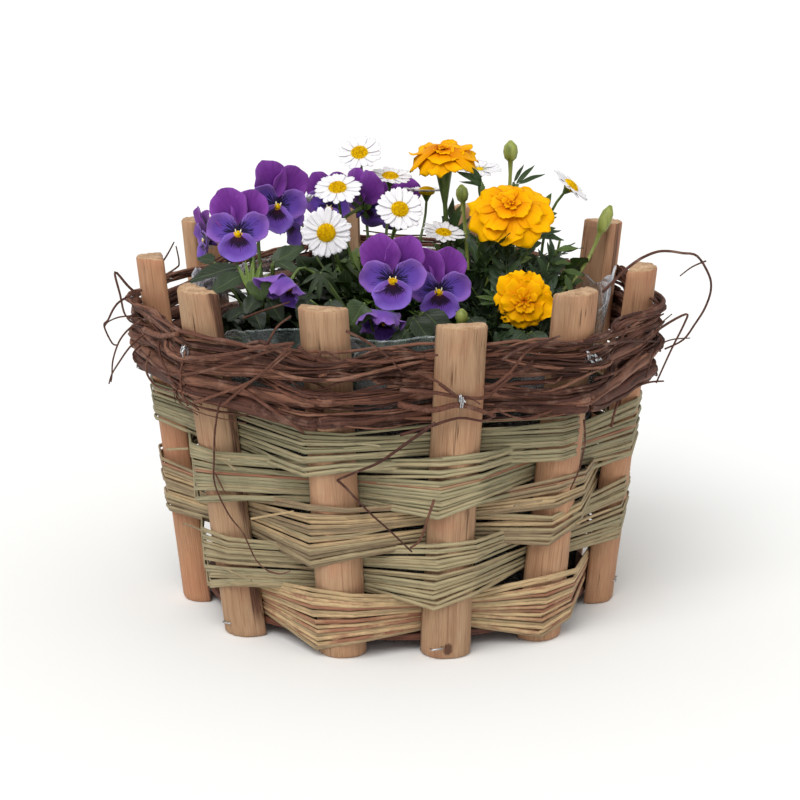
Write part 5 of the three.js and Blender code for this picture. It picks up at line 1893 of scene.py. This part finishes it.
def addSeenLeaf(bm, kind, footPixel, tipPixel, footDepth, tipDepth, breadth, upward, tone, finish):
    foot, tip = seenAt(*footPixel, footDepth), seenAt(*tipPixel, tipDepth)
    eye, _, _ = viewAxes()
    up = (eye - foot).normalized().lerp(Vector((0, 0, 1)), upward)
    way = tip - foot
    shape = leafShapes[kind]
    size = way.length / shape["long"]
    usual = shape["half"] * size
    widened = breadth * way.length / usual
    addLeaf(bm, kind, foot, way, up, size, finish, tone, 0.35, 0.18, widened)
    return foot


# leaves stay within a radius, which is larger above a height, and away from two corners of clear film
leafRoom = {"below": 119, "above": 140, "height": 205, "left": (-90, -26), "right": (96, 16)}


def insideBasket(point):
    limit = leafRoom["below"] if point.z < leafRoom["height"] else leafRoom["above"]
    return math.hypot(point.x, point.y) < limit


def hidesFilm(tip):
    left, right = leafRoom["left"], leafRoom["right"]
    return (tip.x < left[0] and tip.y < left[1]) or (tip.x > right[0] and tip.y < right[1])


# for each kind its blooms and their radius
bloomTables = {"viola": (violaTable, 22), "daisy": (daisyTable, 15), "marigold": (marigoldTable, 25)}
# place, way and radius of every open bloom, which leaves keep clear of
bloomRoom = [
    (Vector(row[0]), wayOf(row), reach * row[4]) for table, reach in bloomTables.values() for row in table
]


def crossesBloom(point):
    for centre, way, radius in bloomRoom:
        gap = point - centre
        ahead = gap.dot(way)
        if -5 < ahead < 45 and (gap - way * ahead).length < radius:
            return True
    return False


leafReach = {"viola": 30, "daisy": 30, "marigold": 52}  # length of a whole leaf


def growLeaves(stems, blades, crown, kind, plant, draws, seed):
    reachX, reachY, reachZ = plant["heart"]
    long = leafReach[kind]
    count = plant["leaves"]
    for k in range(count):
        heading = math.radians(k * goldenAngle + seed * 50)
        share = k / count
        up = math.radians(2 + 74 * share * draws.uniform(0.7, 1.2))
        spread = draws.uniform(0.45, 1.05)
        out = Vector((math.cos(heading), math.sin(heading), 0))
        level = math.cos(up)
        reach = Vector((reachX * level * out.x, reachY * level * out.y, reachZ * math.sin(up))) * spread
        foot = crown + reach + Vector((0, 0, 3))
        lean = math.radians(draws.uniform(0, 40) + 40 * share)
        way = out * math.cos(lean) + Vector((0, 0, 1)) * math.sin(lean)
        sway = Vector((draws.uniform(-0.5, 0.5), draws.uniform(-0.5, 0.5), 0))
        facingUp = (Vector((0, 0, 1)) + out * 0.3 + sway).normalized()
        size = draws.uniform(0.62, 1.05)
        droop, fold = draws.uniform(0.3, 1.2), draws.uniform(0.1, 0.35)
        # leaves lower in the basket, nearer the soil, take a darker tone: painted shade
        tone = 0.12 + 0.55 * (foot.z - 160) / 60 + draws.uniform(-0.15, 0.3)
        if not insideBasket(foot + way * long * size):
            size *= 0.7
            way = (way + Vector((-foot.x, -foot.y, 60)).normalized() * 0.9).normalized()
        tip = foot + way * long * size
        if not insideBasket(foot) or not insideBasket(tip) or hidesFilm(tip):
            continue
        if any(crossesBloom(foot.lerp(tip, part)) for part in (0, 0.35, 0.7, 1)):
            continue
        middle = crown.lerp(foot, 0.55) + Vector((0, 0, 5))
        addTube(stems, smoothLine([crown, middle, foot], 3), 0.7, 5, finish=0)
        if kind == "marigold":
            addPinnate(blades, foot, way, facingUp, size, 7, draws, 1, 0, tone)
        else:
            addLeaf(blades, kind, foot, way, facingUp, size, 0, tone, droop, fold)


def makePlant(name, plant, seed):
    draws = random.Random(600 + seed)
    stems = newShape()
    blades = newShape()
    x, y = plant["crown"]
    crown = Vector((x, y, soilTop(x, y) - 2))
    kind, *others = name.split("_")
    table, _ = bloomTables[kind]
    under, radii = stalkEnds[kind]
    for number in plant["blooms"]:
        row = table[number - 1]
        forward = wayOf(row)
        size = row[4]
        end = Vector(row[0]) - forward * under * size
        start = crown + Vector((draws.uniform(-6, 6), draws.uniform(-6, 6), 0))
        growStalk(stems, start, end, forward, [(back * size, radius * size) for back, radius in radii], 0)
    for tip, foot, radius in budTable.get(name, ()):
        end, root = Vector(tip), Vector(foot)
        forward = (end - root).normalized()
        long = (end - root).length
        swelling = [(long * back, radius * full) for back, full in budSwell]
        growStalk(stems, crown, end, forward, [(long + 8, 1.1), (long, 1.6), *swelling, (0, 1.0)], 1, 12)
    growLeaves(stems, blades, crown, kind, plant, draws, seed)
    for leaf in seenLeaves.get(name, ()):
        foot = addSeenLeaf(blades, *leaf, 0)
        middle = crown.lerp(foot, 0.6) + Vector((0, 0, 4))
        addTube(stems, smoothLine([crown, middle, foot], 4), 0.8, 5, finish=0)
    bmesh.ops.remove_doubles(blades, verts=blades.verts, dist=0.002)
    bmesh.ops.recalc_face_normals(stems, faces=stems.faces)
    title = kind + "".join(part.capitalize() for part in others)
    # in the blades 0 is leaf and 1 is stem; in the whole piece 0 is stem, 1 bud and 2 leaf
    for face in blades.faces:
        face.material_index = 2 if face.material_index == 0 else 0
    pour(blades, stems)
    finishPiece(stems, title, [stemGreen, budGreen, leafGreen[kind]], [name], closed=False)


for seed, (name, plant) in enumerate(plantTable.items()):
    makePlant(name, plant, seed)
print("plants made")

# Floor, lights and world


def makeStage():
    bm = bmesh.new()
    bmesh.ops.create_grid(bm, x_segments=1, y_segments=1, size=6)
    mesh = bpy.data.meshes.new("floor")
    bm.to_mesh(mesh)
    bm.free()
    floor = bpy.data.objects.new("floor", mesh)
    floor.location.z = -0.0004
    scene.collection.objects.link(floor)
    material, tree, shader = startFinish("paleFloor", Roughness=0.9)
    shader.inputs["Base Color"].default_value = tint("#f4f4f2")
    mesh.materials.append(material)


# The sun's strength, its spread in degrees and where it shines from; the world lights the rest
sunLight = {"strength": 1.7, "spread": 40, "from": (-0.35, -0.8, 1.15)}
worldStrength = 0.75


def makeLights():
    data = bpy.data.lights.new("sun", "SUN")
    data.energy = sunLight["strength"]
    data.angle = math.radians(sunLight["spread"])
    lamp = bpy.data.objects.new("sun", data)
    lamp.rotation_euler = (-Vector(sunLight["from"])).to_track_quat("-Z", "Y").to_euler()
    scene.collection.objects.link(lamp)
    world = bpy.data.worlds.new("studio")
    world.use_nodes = True
    background = world.node_tree.nodes["Background"]
    background.inputs["Color"].default_value = (1, 1, 1, 1)
    background.inputs["Strength"].default_value = worldStrength
    scene.world = world
    scene.view_settings.view_transform = "Standard"


makeStage()
makeLights()
